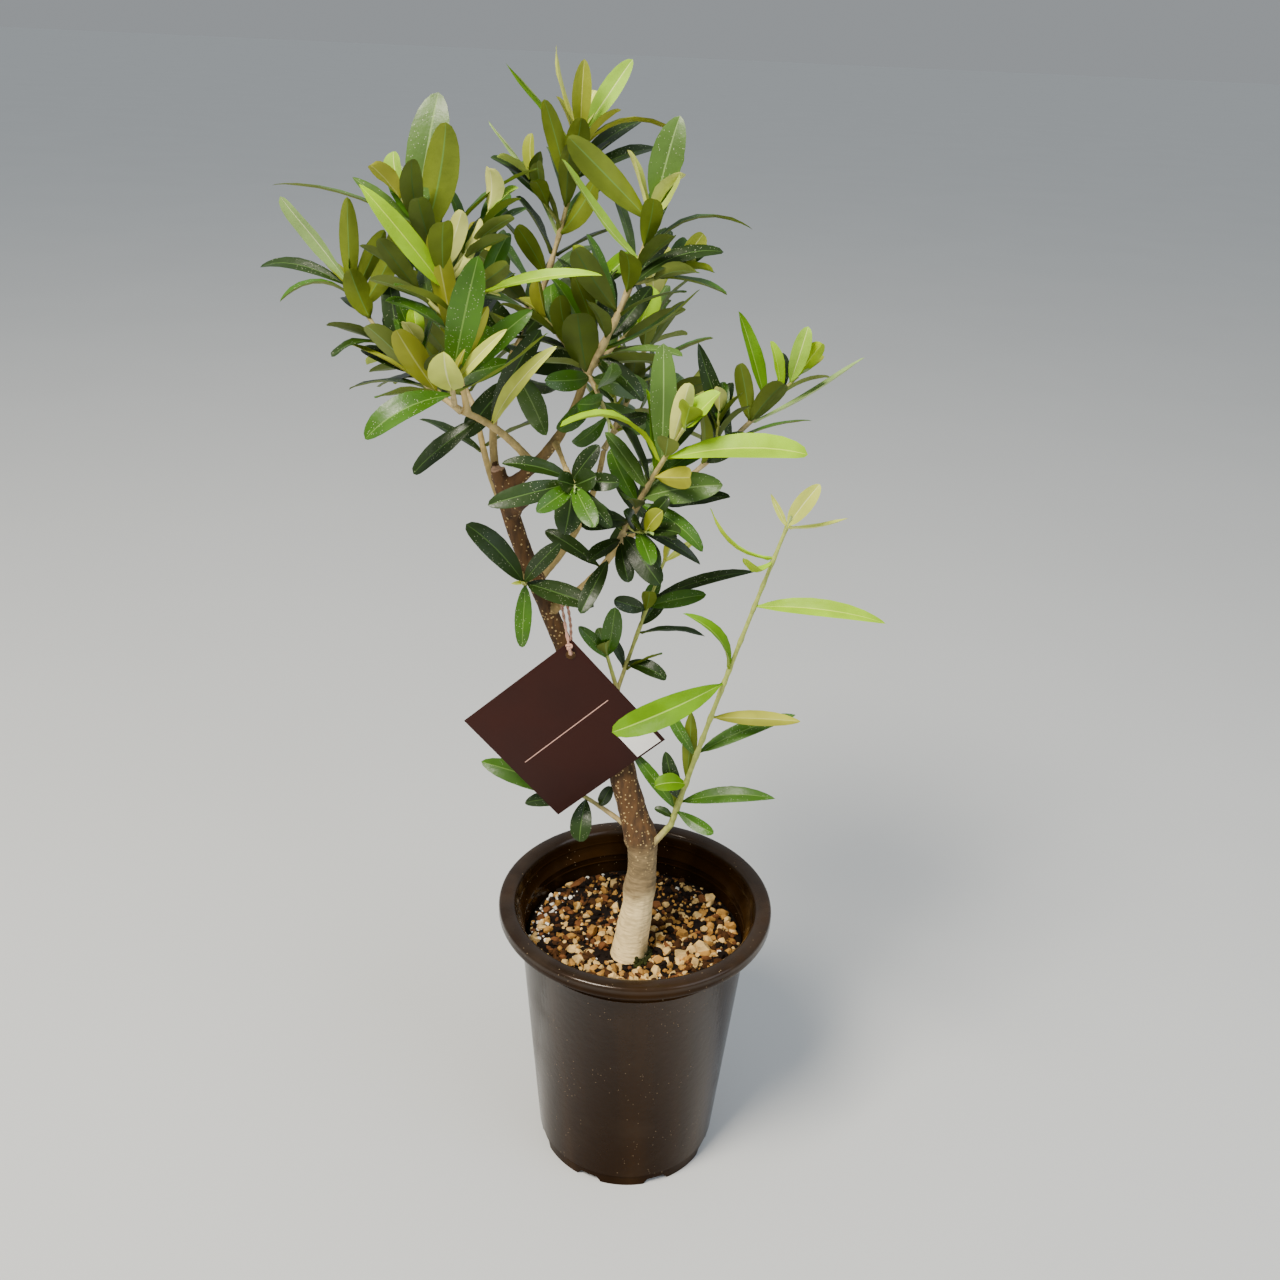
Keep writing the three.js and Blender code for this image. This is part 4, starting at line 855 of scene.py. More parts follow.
MASSES = (
    Mass("foliage_leader", bough="bough_centre", shoots=(
        Shoot(
            "leader", reach=(35, -10, 95), bow=(4, -1, 0), radius=(2, 0.9), pairs=6, size=(46, 14), twigs=2,
            twig_turn=40, leaves=leafed(
            (0.88, -160, 42, 60, 16, BACK, GREEN, 4), (0.68, -148, 49, 66, 11, RIGHT, PALE, -3),
            (0.95, 5, 77, 45, 18, FRONT, DEEP), (0.68, 14, 16, 62, 8, SKYWARD, GREEN, 13),
            (0.53, 0, 24, 52, 11, UP_FRONT, DARK, 9), (0.18, 11, 33, 60, 8, SKYWARD, GREEN, -5),
            (0.39, -138, 50, 46, 15, BACK, DARK), (0.03, -103, 61, 42, 21, BACK, DARK),
            (0.21, 41, 41, 42, 12, FRONT, DARK), (0.14, -22, -36, 34, 12, UP_FRONT, DARK, 4),
            (0.9, -46, 50, 30, 8, RIGHT, PALE, 1),
        )),
        Shoot(
            "leader_low", reach=(12, -16, -18), bow=(0, 0, 2), on="leader", share=0.03, pairs=3,
            size=(38, 14), spread=(80, 60), young=False,
        ),
        Shoot("leader_left", reach=(-24, 8, 26), on="leader", share=0.04, pairs=3, size=(40, 14)),
        Shoot("leader_back", reach=(24, 22, 20), on="leader", share=0.06, pairs=3, size=(40, 14)),
    )),
    Mass("foliage_top", bough="bough_top", shoots=(
        Shoot(
            "top", reach=(26, 4, 99), bow=(3, -1, 0), radius=(1.7, 0.8), pairs=6, size=(44, 13), twigs=2,
            twig_turn=200, leaves=leafed(
            (1, 180, 71, 44, 7, LEFT, CREAM), (1, -78, 77, 37, 11, FRONT, KHAKI),
            (1, 12, 55, 45, 12, FRONT, PALE, -1), (0.92, 10, 8, 57, 8, SKYWARD, KHAKI, 12),
            (0.9, 165, 45, 58, 7, LEFT, FRESH, -3), (0.69, -137, 70, 51, 11, BACK, GREEN),
            (0.48, -26, 54, 38, 15, BACK_RIGHT, GREEN), (0.48, 150, 48, 72, 5, LEFT, SILVER, -4),
            (0.26, -127, 50, 38, 11, BACK, GREEN), (0.77, 29, 18, 54, 11, UP_FRONT, DARK, 4),
            (0.82, 39, 30, 50, 11, UP_FRONT, DARK, 3),
        )),
        Shoot(
            "top_low", reach=(-8, -8, -30), bow=(-3, 0, 0), on="top", share=0.03, pairs=2, size=(44, 15),
            spread=(80, 60), young=False, leaves=leafed(
            (0.3, -158, 32, 52, 17, FRONT, DARK, 3), (0.35, -12, 46, 50, 16, FRONT, DARK, 3),
            (0.75, -165, -14, 50, 16, FRONT, GREEN, 3), (0.8, -20, 8, 48, 16, FRONT, DARK, 3),
            (1, -140, -42, 46, 15, FRONT, DARK, 3), (1, -60, -30, 46, 15, FRONT, DEEP, 3),
            (0.55, -80, 10, 42, 16, UP_FRONT, DARK, 3),
        )),
        Shoot("top_side", reach=(-22, 14, 20), on="top", share=0.06, pairs=3, size=(44, 14)),
    )),
    Mass("foliage_upper_left", bough="bough_upper_left", shoots=(
        Shoot(
            "upper_left", reach=(-22, -7, 73), bow=(6, -1, 1), radius=(1.6, 0.8), pairs=5, size=(44, 14),
            twigs=2, twig_turn=30, leaves=leafed(
            (0.88, 49, 74, 57, 21, FRONT, DEEP, 3), (0.76, -31, 74, 54, 18, BACK, GREEN),
            (0.6, 15, 42, 66, 8, SKYWARD, GREEN, 7), (0.53, -25, 66, 33, 11, BACK, CREAM),
            (0.44, 0, 60, 37, 9, BACK_RIGHT, CREAM), (0.42, -150, 51, 63, 12, FRONT, LIME, 3),
            (0.5, 180, 48, 60, 11, UP_FRONT, DEEP, 3), (0.03, -115, 74, 61, 13, BACK, KHAKI),
            (0.4, 33, 50, 50, 17, FRONT_LEFT, DEEP, 3), (0.82, 172, 13, 74, 6, SKYWARD, DEEP, 5),
        )),
        Shoot(
            "upper_left_side", reach=(17, 4, 4), bow=(0, 0, 1), radius=(1.2, 0.7), on="upper_left",
            share=0.35, pairs=1, size=(34, 11), first=0.5, last=0.5, leaves=leafed(
            (1, -11, 13, 60, 8, UP_FRONT, LIME, 4), (0.95, 60, 50, 34, 10, FRONT, GREEN),
        )),
    )),
    Mass("foliage_left", bough="bough_left", shoots=(
        Shoot(
            "left", reach=(-60, 28, 54), bow=(-4, 1, -4), radius=(1.7, 0.8), pairs=4, size=(42, 13),
            twigs=1, twig_turn=110, leaves=leafed(
            (1, -68, 83, 46, 11, BACK, GREEN), (1, -171, 53, 54, 11, FRONT_LEFT, SILVER, -2),
            (1, 164, 7, 54, 9, UP_FRONT, DARK, 7), (0.93, -150, 2, 40, 9, SKYWARD, GREEN, 9),
            (0.87, -26, 55, 40, 12, BACK, GREEN), (0.96, 19, 63, 36, 11, BACK_LEFT, GREEN),
            (0.59, -149, -5, 31, 9, SKYWARD, DARK, 5), (0.35, 161, 18, 33, 11, UP_FRONT, DARK),
            (0.47, 119, 68, 45, 12, FRONT, DARK), (0.17, -129, 55, 45, 16, BACK, KHAKI),
            (0.26, 174, 72, 46, 11, FRONT_RIGHT, GREEN), (0.23, 162, -7, 49, 8, SKYWARD, DARK, 4),
            (0.2, 174, 26, 50, 6, SKYWARD, KHAKI),
        )),
        Shoot(
            "left_young", reach=(1, -14, 16), radius=(1.4, 0.9), on="left", share=0.05, pairs=1,
            size=(22, 8), young=False, leaves=leafed(
            (1, -36, 73, 66, 18, FRONT, GREEN), (0.7, -90, 45, 34, 19, FRONT, CREAM, 3),
            (0.8, -26, 46, 46, 7, FRONT, CREAM), (0.5, -154, -22, 50, 17, UP_FRONT, GREEN, 9),
            (0.6, -11, 36, 60, 5, SKYWARD, GREEN, -3), (1, -14, 63, 44, 9, BACK, KHAKI, -3),
        )),
    )),
    Mass("foliage_front", bough="bough_front", shoots=(
        Shoot(
            "front", reach=(6, -20, -2), radius=(1.4, 0.9), pairs=1, size=(28, 12), spread=(75, 60),
            young=False, leaves=leafed(
            (0.85, -156, -9, 47, 13, FRONT, DARK), (0.6, -165, 16, 38, 11, UP_FRONT, DARK, 4),
            (1, -126, -13, 30, 11, FRONT, GREEN), (1, -65, -22, 32, 12, FRONT, GREEN),
            (0.8, -105, -66, 28, 17, FRONT, DARK), (0.7, 3, 55, 24, 11, FRONT, DARK),
            (0.75, -15, 6, 26, 11, FRONT, DARK), (0.95, -26, -40, 30, 9, FRONT, DARK),
        )),
    )),
    Mass("foliage_right", bough="bough_right", shoots=(
        Shoot(
            "right", reach=(32, -37, 79), bow=(-2, 2, -1), radius=(1.8, 0.8), pairs=4, size=(40, 14),
            twigs=1, twig_turn=250, leaves=leafed(
            (0.72, -159, 24, 61, 13, SKYWARD, LIME, 14), (0.76, -8, 8, 75, 17, UP_FRONT, LIME, 8),
            (0.72, 112, 85, 62, 15, FRONT, DEEP), (0.63, 180, 83, 46, 9, FRONT_RIGHT, FRESH),
            (0.85, -53, 72, 39, 11, BACK, CREAM, -2), (0.61, -53, 16, 34, 13, BACK, KHAKI),
            (0.43, -20, 18, 47, 18, FRONT, DEEP, 3), (0.38, -22, -27, 44, 12, UP_FRONT, GREEN, 6),
            (0.2, -7, -26, 46, 9, UP_FRONT, DARK, 3), (0.09, -43, -34, 36, 15, FRONT, DARK),
            (0.03, -73, -38, 26, 11, FRONT, DARK), (0.05, -130, -12, 27, 11, UP_FRONT, DARK),
            (0.21, -140, 7, 32, 15, UP_FRONT, DARK, 4), (0.36, -157, 42, 46, 12, FRONT_RIGHT, DARK),
            (0.37, 180, 62, 34, 11, FRONT, GREEN), (0.51, -167, 54, 39, 11, FRONT_RIGHT, DEEP),
        )),
    )),
    Mass("foliage_far_right", bough="bough_far_right", shoots=(
        Shoot(
            "far_right", reach=(57, 16, 56), bow=(0, 0, -1), radius=(1.5, 0.8), pairs=4, size=(40, 12),
            twigs=1, twig_turn=80, leaves=leafed(
            (0.72, 180, 70, 55, 11, FRONT_RIGHT, FRESH), (0.4, -168, 67, 58, 11, FRONT, DARK),
            (0.56, -133, 70, 38, 11, BACK, GREEN), (0.85, -147, 72, 31, 9, FRONT_RIGHT, LIME),
            (0.93, -37, 76, 34, 11, FRONT, PALE), (0.55, 13, 31, 74, 5, SKYWARD, SILVER, -3),
            (0.36, -6, 21, 48, 8, SKYWARD, GREEN, 3), (0.15, -44, 40, 36, 13, FRONT, DARK),
        )),
    )),
    Mass("foliage_middle", trunk=(-23, -1, 331), shoots=(
        Shoot(
            "middle", reach=(32, 17, 106), bow=(0, 4, 0), radius=(1.5, 0.7), pairs=2, tones=(0.5, 1),
            size=(28, 10), first=0.3, leaves=leafed(
            (0.95, -39, 68, 24, 7, BACK_LEFT, KHAKI), (0.95, 0, 41, 24, 5, FRONT, CREAM),
            (0.71, -9, 24, 67, 9, UP_FRONT, DARK, 6), (0.68, -29, 25, 42, 11, FRONT, GREEN),
            (0.52, 0, 1, 41, 8, SKYWARD, DARK, 3), (0.56, 53, 30, 24, 12, FRONT, DARK),
            (0.66, -150, 25, 24, 11, FRONT, DARK), (0.34, -25, -8, 27, 11, UP_FRONT, DARK, 4),
        )),
        Shoot(
            "middle_low", reach=(-7, -4, 26), radius=(1.2, 0.8), on="middle", share=0.18, pairs=1,
            size=(26, 10), young=False, leaves=leafed(
            (0.95, -68, 74, 38, 13, FRONT, GREEN), (0.9, -164, 51, 29, 9, FRONT, GREEN),
        )),
    )),
    Mass("foliage_water_shoot", trunk=(20, -16, 267.5), shoots=(
        Shoot(
            "water_shoot", reach=(50.8, -34, 214.5), bow=(-2, -4, 0), radius=(1.7, 1), tones=(0.8, 1),
            leaves=leafed(
            (0.77, -12, 1, 72, 12, UP_FRONT, LIME, 7), (0.9, -129, 22, 28, 9, SKYWARD, LIME, -6),
            (0.91, -172, 40, 46, 5, SKYWARD, LIME, -8), (1, -20, 60, 30, 11, FRONT, CREAM),
            (1, 10, 9, 33, 4, SKYWARD, CREAM, -2), (0.57, -144, 52, 56, 11, RIGHT, FRESH, 8),
            (0.53, -158, -18, 71, 18, FRONT, FRESH, 8), (0.41, -5, 3, 52, 10, BACK, KHAKI, 3),
            (0.28, 14, 20, 64, 11, UP_FRONT, GREEN, 4), (0.27, 166, 57, 37, 8, FRONT, GREEN),
            (0.17, -90, 86, 52, 10, BACK, GREEN), (0.09, -10, 13, 60, 12, UP_FRONT, GREEN, 6),
            (0.165, -160, 6, 20, 13, UP_FRONT, FRESH, 4), (0.1, 180, 73, 35, 11, FRONT, DARK),
            (0.06, 160, 48, 47, 9, FRONT, GREEN), (0.07, 150, 62, 18, 8, BACK, GREEN),
            (0.03, 175, 25, 13, 6, UP_FRONT, DARK), (0.06, -34, -11, 28, 9, FRONT, GREEN),
            (1, 170, 60, 20, 4, FRONT, CREAM),
        )),
        Shoot(
            "water_foot", on="water_shoot", share=0, reach=(-12, 4.5, -20.5), radius=(1.6, 1.8),
            tones=(0.8, 0.2),
        ),
    )),
    Mass("foliage_low_left", trunk=(-68, 3, 420), shoots=(
        Shoot("low_left", reach=(-5, -15, 6), radius=(1.6, 1.2), leaves=leafed(
            (1, -162, 50, 50, 16, FRONT_RIGHT, DARK, 4), (0.85, -30, -2, 47, 16, UP_FRONT, DARK, 3),
            (0.85, -95, -73, 38, 11, FRONT, GREEN), (1, -20, 52, 36, 11, FRONT, DARK),
        )),
    )),
    Mass("foliage_base_left", trunk=(-5, -5, 255), shoots=(
        Shoot("base_left", reach=(-32, 9, 18), bow=(0, 0, 1), radius=(1.5, 1), leaves=leafed(
            (1, 178, 17, 68, 17, FRONT, GREEN, 3), (0.95, 172, -14, 41, 12, UP_FRONT, DARK, 3),
            (0.92, -100, -53, 28, 15, FRONT, DARK), (0.65, -10, 66, 17, 9, FRONT, DARK),
            (0.42, 20, 75, 16, 6, FRONT, DARK),
        )),
    )),
    Mass("foliage_back_left", bough="bough_back_left", shoots=(
        Shoot(
            "back_left", reach=(-30, 26, 78), bow=(-6, 6, 0), radius=(1.7, 0.8), pairs=5, size=(50, 15),
            twigs=2, twig_turn=60,
        ),
        Shoot(
            "back_left_low", reach=(-44, 26, 14), bow=(0, 0, 5), on="back_left", share=0.12, pairs=4,
            size=(46, 14),
        ),
    )),
    Mass("foliage_back_right", bough="bough_back_right", shoots=(
        Shoot(
            "back_right", reach=(26, 24, 86), bow=(5, 5, 0), radius=(1.7, 0.8), pairs=5, size=(50, 15),
            twigs=2, twig_turn=310,
        ),
        Shoot(
            "back_right_low", reach=(46, 20, 18), bow=(0, 0, 5), on="back_right", share=0.1, pairs=4,
            size=(46, 14),
        ),
    )),
)


# Limbs and crown


@dataclass
class Skeleton:
    """The trunk, its stubs and the boughs as curves with radii."""

    trunk: Limb = field(init=False)
    stubs: list[Limb] = field(default_factory=list)
    boughs: dict[str, Limb] = field(default_factory=dict)

    def __post_init__(self) -> None:
        """Lays the limbs out."""
        radii = [radius for _, radius in TRUNK_BENDS]

        def radius(t: float) -> float:
            """Gives the trunk's radius, as an even taper between its bends."""
            at = min(max(t, 0), 1) * (len(radii) - 1)
            i = min(int(at), len(radii) - 2)
            return mix(radii[i], radii[i + 1], at - i)

        self.trunk = Limb("trunk", Spine(tuple(Vector(at) for at, _ in TRUNK_BENDS)), radius)
        for number, (start, reach, ends) in enumerate(STUBS):
            curve = Bowed(Vector(start), Vector(reach), Vector())
            self.stubs.append(Limb(f"stub_{number}", curve, tapered(ends)))
        for name, bough in BOUGHS.items():
            start = self.boughs[bough.on].curve.point(bough.share) if bough.on else Vector(bough.start)
            curve = Bowed(start, Vector(bough.reach), Vector(bough.bow))
            self.boughs[name] = Limb(name, curve, tapered(bough.radius))

    def limbs(self) -> list[Limb]:
        """Gives every limb."""
        return [self.trunk, *self.stubs, *self.boughs.values()]


@dataclass
class Stem:
    """A shoot or side twig in place, with its plan and the seed of its leaves."""

    limb: Limb
    mass: str
    plan: Shoot
    seed: float = 0.0


@dataclass
class Blade:
    """One leaf in place, with points spread over it for the clash rule."""

    mass: str
    curve: Bowed
    length: float
    width: float
    normal: Vector
    kind: Kind
    points: np.ndarray = field(init=False)
    middle: np.ndarray = field(init=False)
    reach: float = field(init=False)

    shares = np.linspace(0, 1, 13)
    across = np.array([-0.85, -0.42, 0, 0.42, 0.85])
    stations = (0, 0.3, 0.72, 1)
    fullness = (0.07, 1, 0.94, 0)

    def __post_init__(self) -> None:
        """Spreads the points."""
        side = cross_frame(self.curve.tangent(0.5), self.normal)[0]
        middles = np.array([self.curve.point(t) for t in self.shares])
        halves = 0.5 * self.width * np.interp(self.shares, self.stations, self.fullness)
        spread = halves[:, None, None] * self.across[None, :, None] * np.array(side)
        self.points = (middles[:, None, :] + spread).reshape(-1, 3)
        self.middle = np.array(self.curve.point(0.5))
        self.reach = 0.5 * self.length + 0.5 * self.width


class Standing:
    """What already stands in the crown, and the room that it leaves."""

    clear_of_own = 1.7
    clear_of_others = 2.4
    clear_of_limbs = 1.3
    root_share = 0.34
    beyond_box = 1.5

    def __init__(self) -> None:
        """Starts with nothing standing, in the solids' own box."""
        corners = np.array([list(corner) for corner in CAD_BOX]) / MM
        self.box = corners + [[-self.beyond_box], [self.beyond_box]]
        self.blades: list[Blade] = []
        self.places = np.zeros((0, 3))
        self.radii = np.zeros(0)
        self.owners: list[str] = []

    def add_limb(self, owner: str, balls: Sequence[tuple[Vector, float]]) -> None:
        """Adds a limb or shoot as balls that belong to a mass."""
        self.places = np.vstack([self.places, np.array([place for place, _ in balls])])
        self.radii = np.concatenate([self.radii, [radius for _, radius in balls]])
        self.owners.extend([owner] * len(balls))

    def free(self, blade: Blade, foreign_only: bool = False) -> bool:
        """Tells whether a leaf touches nothing.

        Args:
            blade: The leaf.
            foreign_only: True for a chosen leaf, which minds only other masses.

        Returns:
            True if it stays clear.
        """
        if (blade.points < self.box[0]).any() or (blade.points > self.box[1]).any():
            return False
        outer = np.repeat(blade.shares >= self.root_share, len(blade.across))
        away = np.linalg.norm(self.places - blade.middle, axis=1)
        for i in np.flatnonzero(away < blade.reach + self.radii + self.clear_of_limbs):
            own = self.owners[i] == blade.mass
            if own and foreign_only:
                continue
            points = blade.points[outer] if own else blade.points
            gap = np.linalg.norm(points - self.places[i], axis=1).min()
            if gap < self.radii[i] + self.clear_of_limbs:
                return False
        for other in self.blades:
            own = other.mass == blade.mass
            if own and foreign_only:
                continue
            limit = self.clear_of_own if own else self.clear_of_others
            if np.linalg.norm(other.middle - blade.middle) > other.reach + blade.reach + limit:
                continue
            part = outer if own else slice(None)
            mine, theirs = blade.points[part], other.points[part]
            if (np.linalg.norm(mine[:, None] - theirs[None], axis=2) < limit).any():
                return False
        return True


@dataclass
class Crown:
    """Every shoot, then the chosen leaves, then the leaves of the rule where there is room."""

    skeleton: Skeleton
    more_pairs: float = 1.3
    twig_shares: Pair = (0.12, 0.72)
    twig_lengths: Pair = (24, 40)
    twig_angle: float = 50.0
    twig_radius: Pair = (1.0, 0.7)
    twig_pairs: int = 3
    twig_first_pair: float = 0.45
    twig_sag: float = 0.06
    twig_leaf: float = 0.8
    golden_turn: float = 137.5
    turn_play: float = 40.0
    spread_play: float = 14.0
    tip_size: float = 0.6
    lengths: Pair = (0.8, 1.1)
    widths: Pair = (0.85, 1.1)
    arches: Pair = (0.02, 0.1)
    young_from: float = 0.86
    clear_share: float = 0.9
    gap: float = 0.3
    lift: float = 0.25
    root_out: float = 0.35
    turns: tuple[float, ...] = (0, 35, -35, 65, -65)
    stems: list[Stem] = field(default_factory=list)
    standing: Standing = field(default_factory=Standing)

    def grow(self) -> None:
        """Grows the whole crown."""
        for mass in MASSES:
            self.stems.extend(self.stems_of(mass))
        for number, stem in enumerate(self.stems):
            stem.seed = SEED * 1000 + number * 7
            self.standing.add_limb(stem.mass, stem.limb.balls())
        self.standing.add_limb("trunk", self.skeleton.trunk.balls())
        for limb in self.skeleton.boughs.values():
            self.standing.add_limb(limb.name, limb.balls(self.clear_share))
        for stem in self.stems:
            for leaf in stem.plan.leaves:
                self.try_blade(self.chosen(stem.mass, stem.limb, leaf), foreign_only=True)
        for name, bough in BOUGHS.items():
            for leaf in bough.leaves:
                self.try_blade(self.chosen(name, self.skeleton.boughs[name], leaf), foreign_only=False)
        for stem in self.stems:
            self.ruled(stem)
        LOG.info("crown: %d shoots and twigs, %d leaves", len(self.stems), len(self.standing.blades))

    def stems_of(self, mass: Mass) -> list[Stem]:
        """Gives a mass's shoots, and then all their side twigs."""
        stems: dict[str, Stem] = {}
        for plan in mass.shoots:
            if plan.on:
                start = stems[plan.on].limb.curve.point(plan.share)
            elif mass.bough:
                curve = self.skeleton.boughs[mass.bough].curve
                start = curve.point(1) + curve.tangent(1) * self.gap
            else:
                start = Vector(mass.trunk)
            limb = Limb(plan.name, Bowed(start, Vector(plan.reach), Vector(plan.bow)), tapered(plan.radius))
            stems[plan.name] = Stem(limb, mass.name, plan)
        twigs = [twig for stem in stems.values() for twig in self.twigs_of(stem)]
        return [*stems.values(), *twigs]

    def twigs_of(self, stem: Stem) -> list[Stem]:
        """Gives the side twigs of a shoot, each turned on by the golden angle."""
        plan = stem.plan
        dice = Dice(SEED + plan.reach[2] + plan.twigs)
        twigs = []
        for i in range(plan.twigs):
            share = mix(*self.twig_shares, (i + 0.5 * dice.roll()) / plan.twigs)
            tangent = stem.limb.curve.tangent(share)
            side, face = cross_frame(tangent, steady_reference(tangent))
            turn, angle = math.radians(plan.twig_turn + self.golden_turn * i), math.radians(self.twig_angle)
            outward = around(side, face, turn)
            length = dice.between(*self.twig_lengths)
            reach = around(tangent, outward, angle) * length
            curve = Bowed(stem.limb.curve.point(share), reach, UP * (-self.twig_sag * length))
            size = tuple(self.twig_leaf * part for part in plan.size)
            name, first = f"{plan.name}_{i}", self.twig_first_pair
            twig = Shoot(name, tuple(reach), self.twig_radius, self.twig_pairs, size, first=first)
            twigs.append(Stem(Limb(twig.name, curve, tapered(self.twig_radius)), stem.mass, twig))
        return twigs

    def try_blade(self, blade: Blade, foreign_only: bool = False) -> bool:
        """Keeps a leaf if it stays clear, and tells whether it does."""
        if not self.standing.free(blade, foreign_only):
            return False
        self.standing.blades.append(blade)
        return True

    def blade(self, owner: str, limb: Limb, leaf: Leaf, direction: Vector, normal: Vector) -> Blade:
        """Puts a leaf on a limb.

        Args:
            owner: The mass or bough that it belongs to.
            limb: The limb that it grows on.
            leaf: Its share along the limb, length, width, kind and arch.
            direction: The way that it points.
            normal: The way that its upper face looks.

        Returns:
            The leaf in place.
        """
        root = limb.curve.point(leaf.share) + direction * (self.root_out * limb.radius(leaf.share))
        upper = (normal - direction * normal.dot(direction)).normalized()
        curve = Bowed(root, direction * leaf.length, upper * leaf.arch)
        return Blade(owner, curve, leaf.length, leaf.width, upper, leaf.kind)

    def chosen(self, owner: str, limb: Limb, leaf: Leaf) -> Blade:
        """Puts a chosen leaf in place."""
        direction = heading(leaf.heading, leaf.rise)
        return self.blade(owner, limb, leaf, direction, Vector(leaf.facing.value))

    def ruled(self, stem: Stem) -> None:
        """Grows opposite pairs along a shoot, each pair a quarter turn on, where there is room."""
        plan, dice = stem.plan, Dice(stem.seed)
        pairs = round(plan.pairs * self.more_pairs)
        for pair in range(pairs):
            share = mix(plan.first, plan.last, pair / (pairs - 1) if pairs > 1 else 1)
            base = 90 * (pair % 2) + self.turn_play * dice.roll()
            for half in (0, 180):
                for shift in self.turns:
                    if self.try_blade(self.ruled_blade(stem, share, base + half + shift, dice)):
                        break

    def ruled_blade(self, stem: Stem, share: float, turn: float, dice: Dice) -> Blade:
        """Gives one leaf of a pair: more upright and smaller towards the shoot's tip.

        Args:
            stem: The shoot.
            share: Its share along the shoot.
            turn: Its turn round the shoot in degrees.
            dice: The shoot's numbers.

        Returns:
            The leaf.
        """
        plan = stem.plan
        tangent = stem.limb.curve.tangent(share)
        side, face = cross_frame(tangent, steady_reference(tangent))
        outward = around(side, face, math.radians(turn))
        spread = math.radians(mix(*plan.spread, share) + self.spread_play * (dice.roll() - 0.5))
        direction = around(tangent, outward, spread)
        direction = (direction + UP * (self.lift * dice.roll())).normalized()
        length = plan.size[0] * mix(1, self.tip_size, share**3) * dice.between(*self.lengths)
        width = plan.size[1] * dice.between(*self.widths)
        kind = dice.pick(YOUNG if share > self.young_from and plan.young else MATURE)
        arch = length * dice.between(*self.arches)
        leaf = Leaf(share, 0, 0, length, width, SKYWARD, kind, arch)
        return self.blade(stem.mass, stem.limb, leaf, direction, tangent + UP * 0.6)


# Foliage meshes


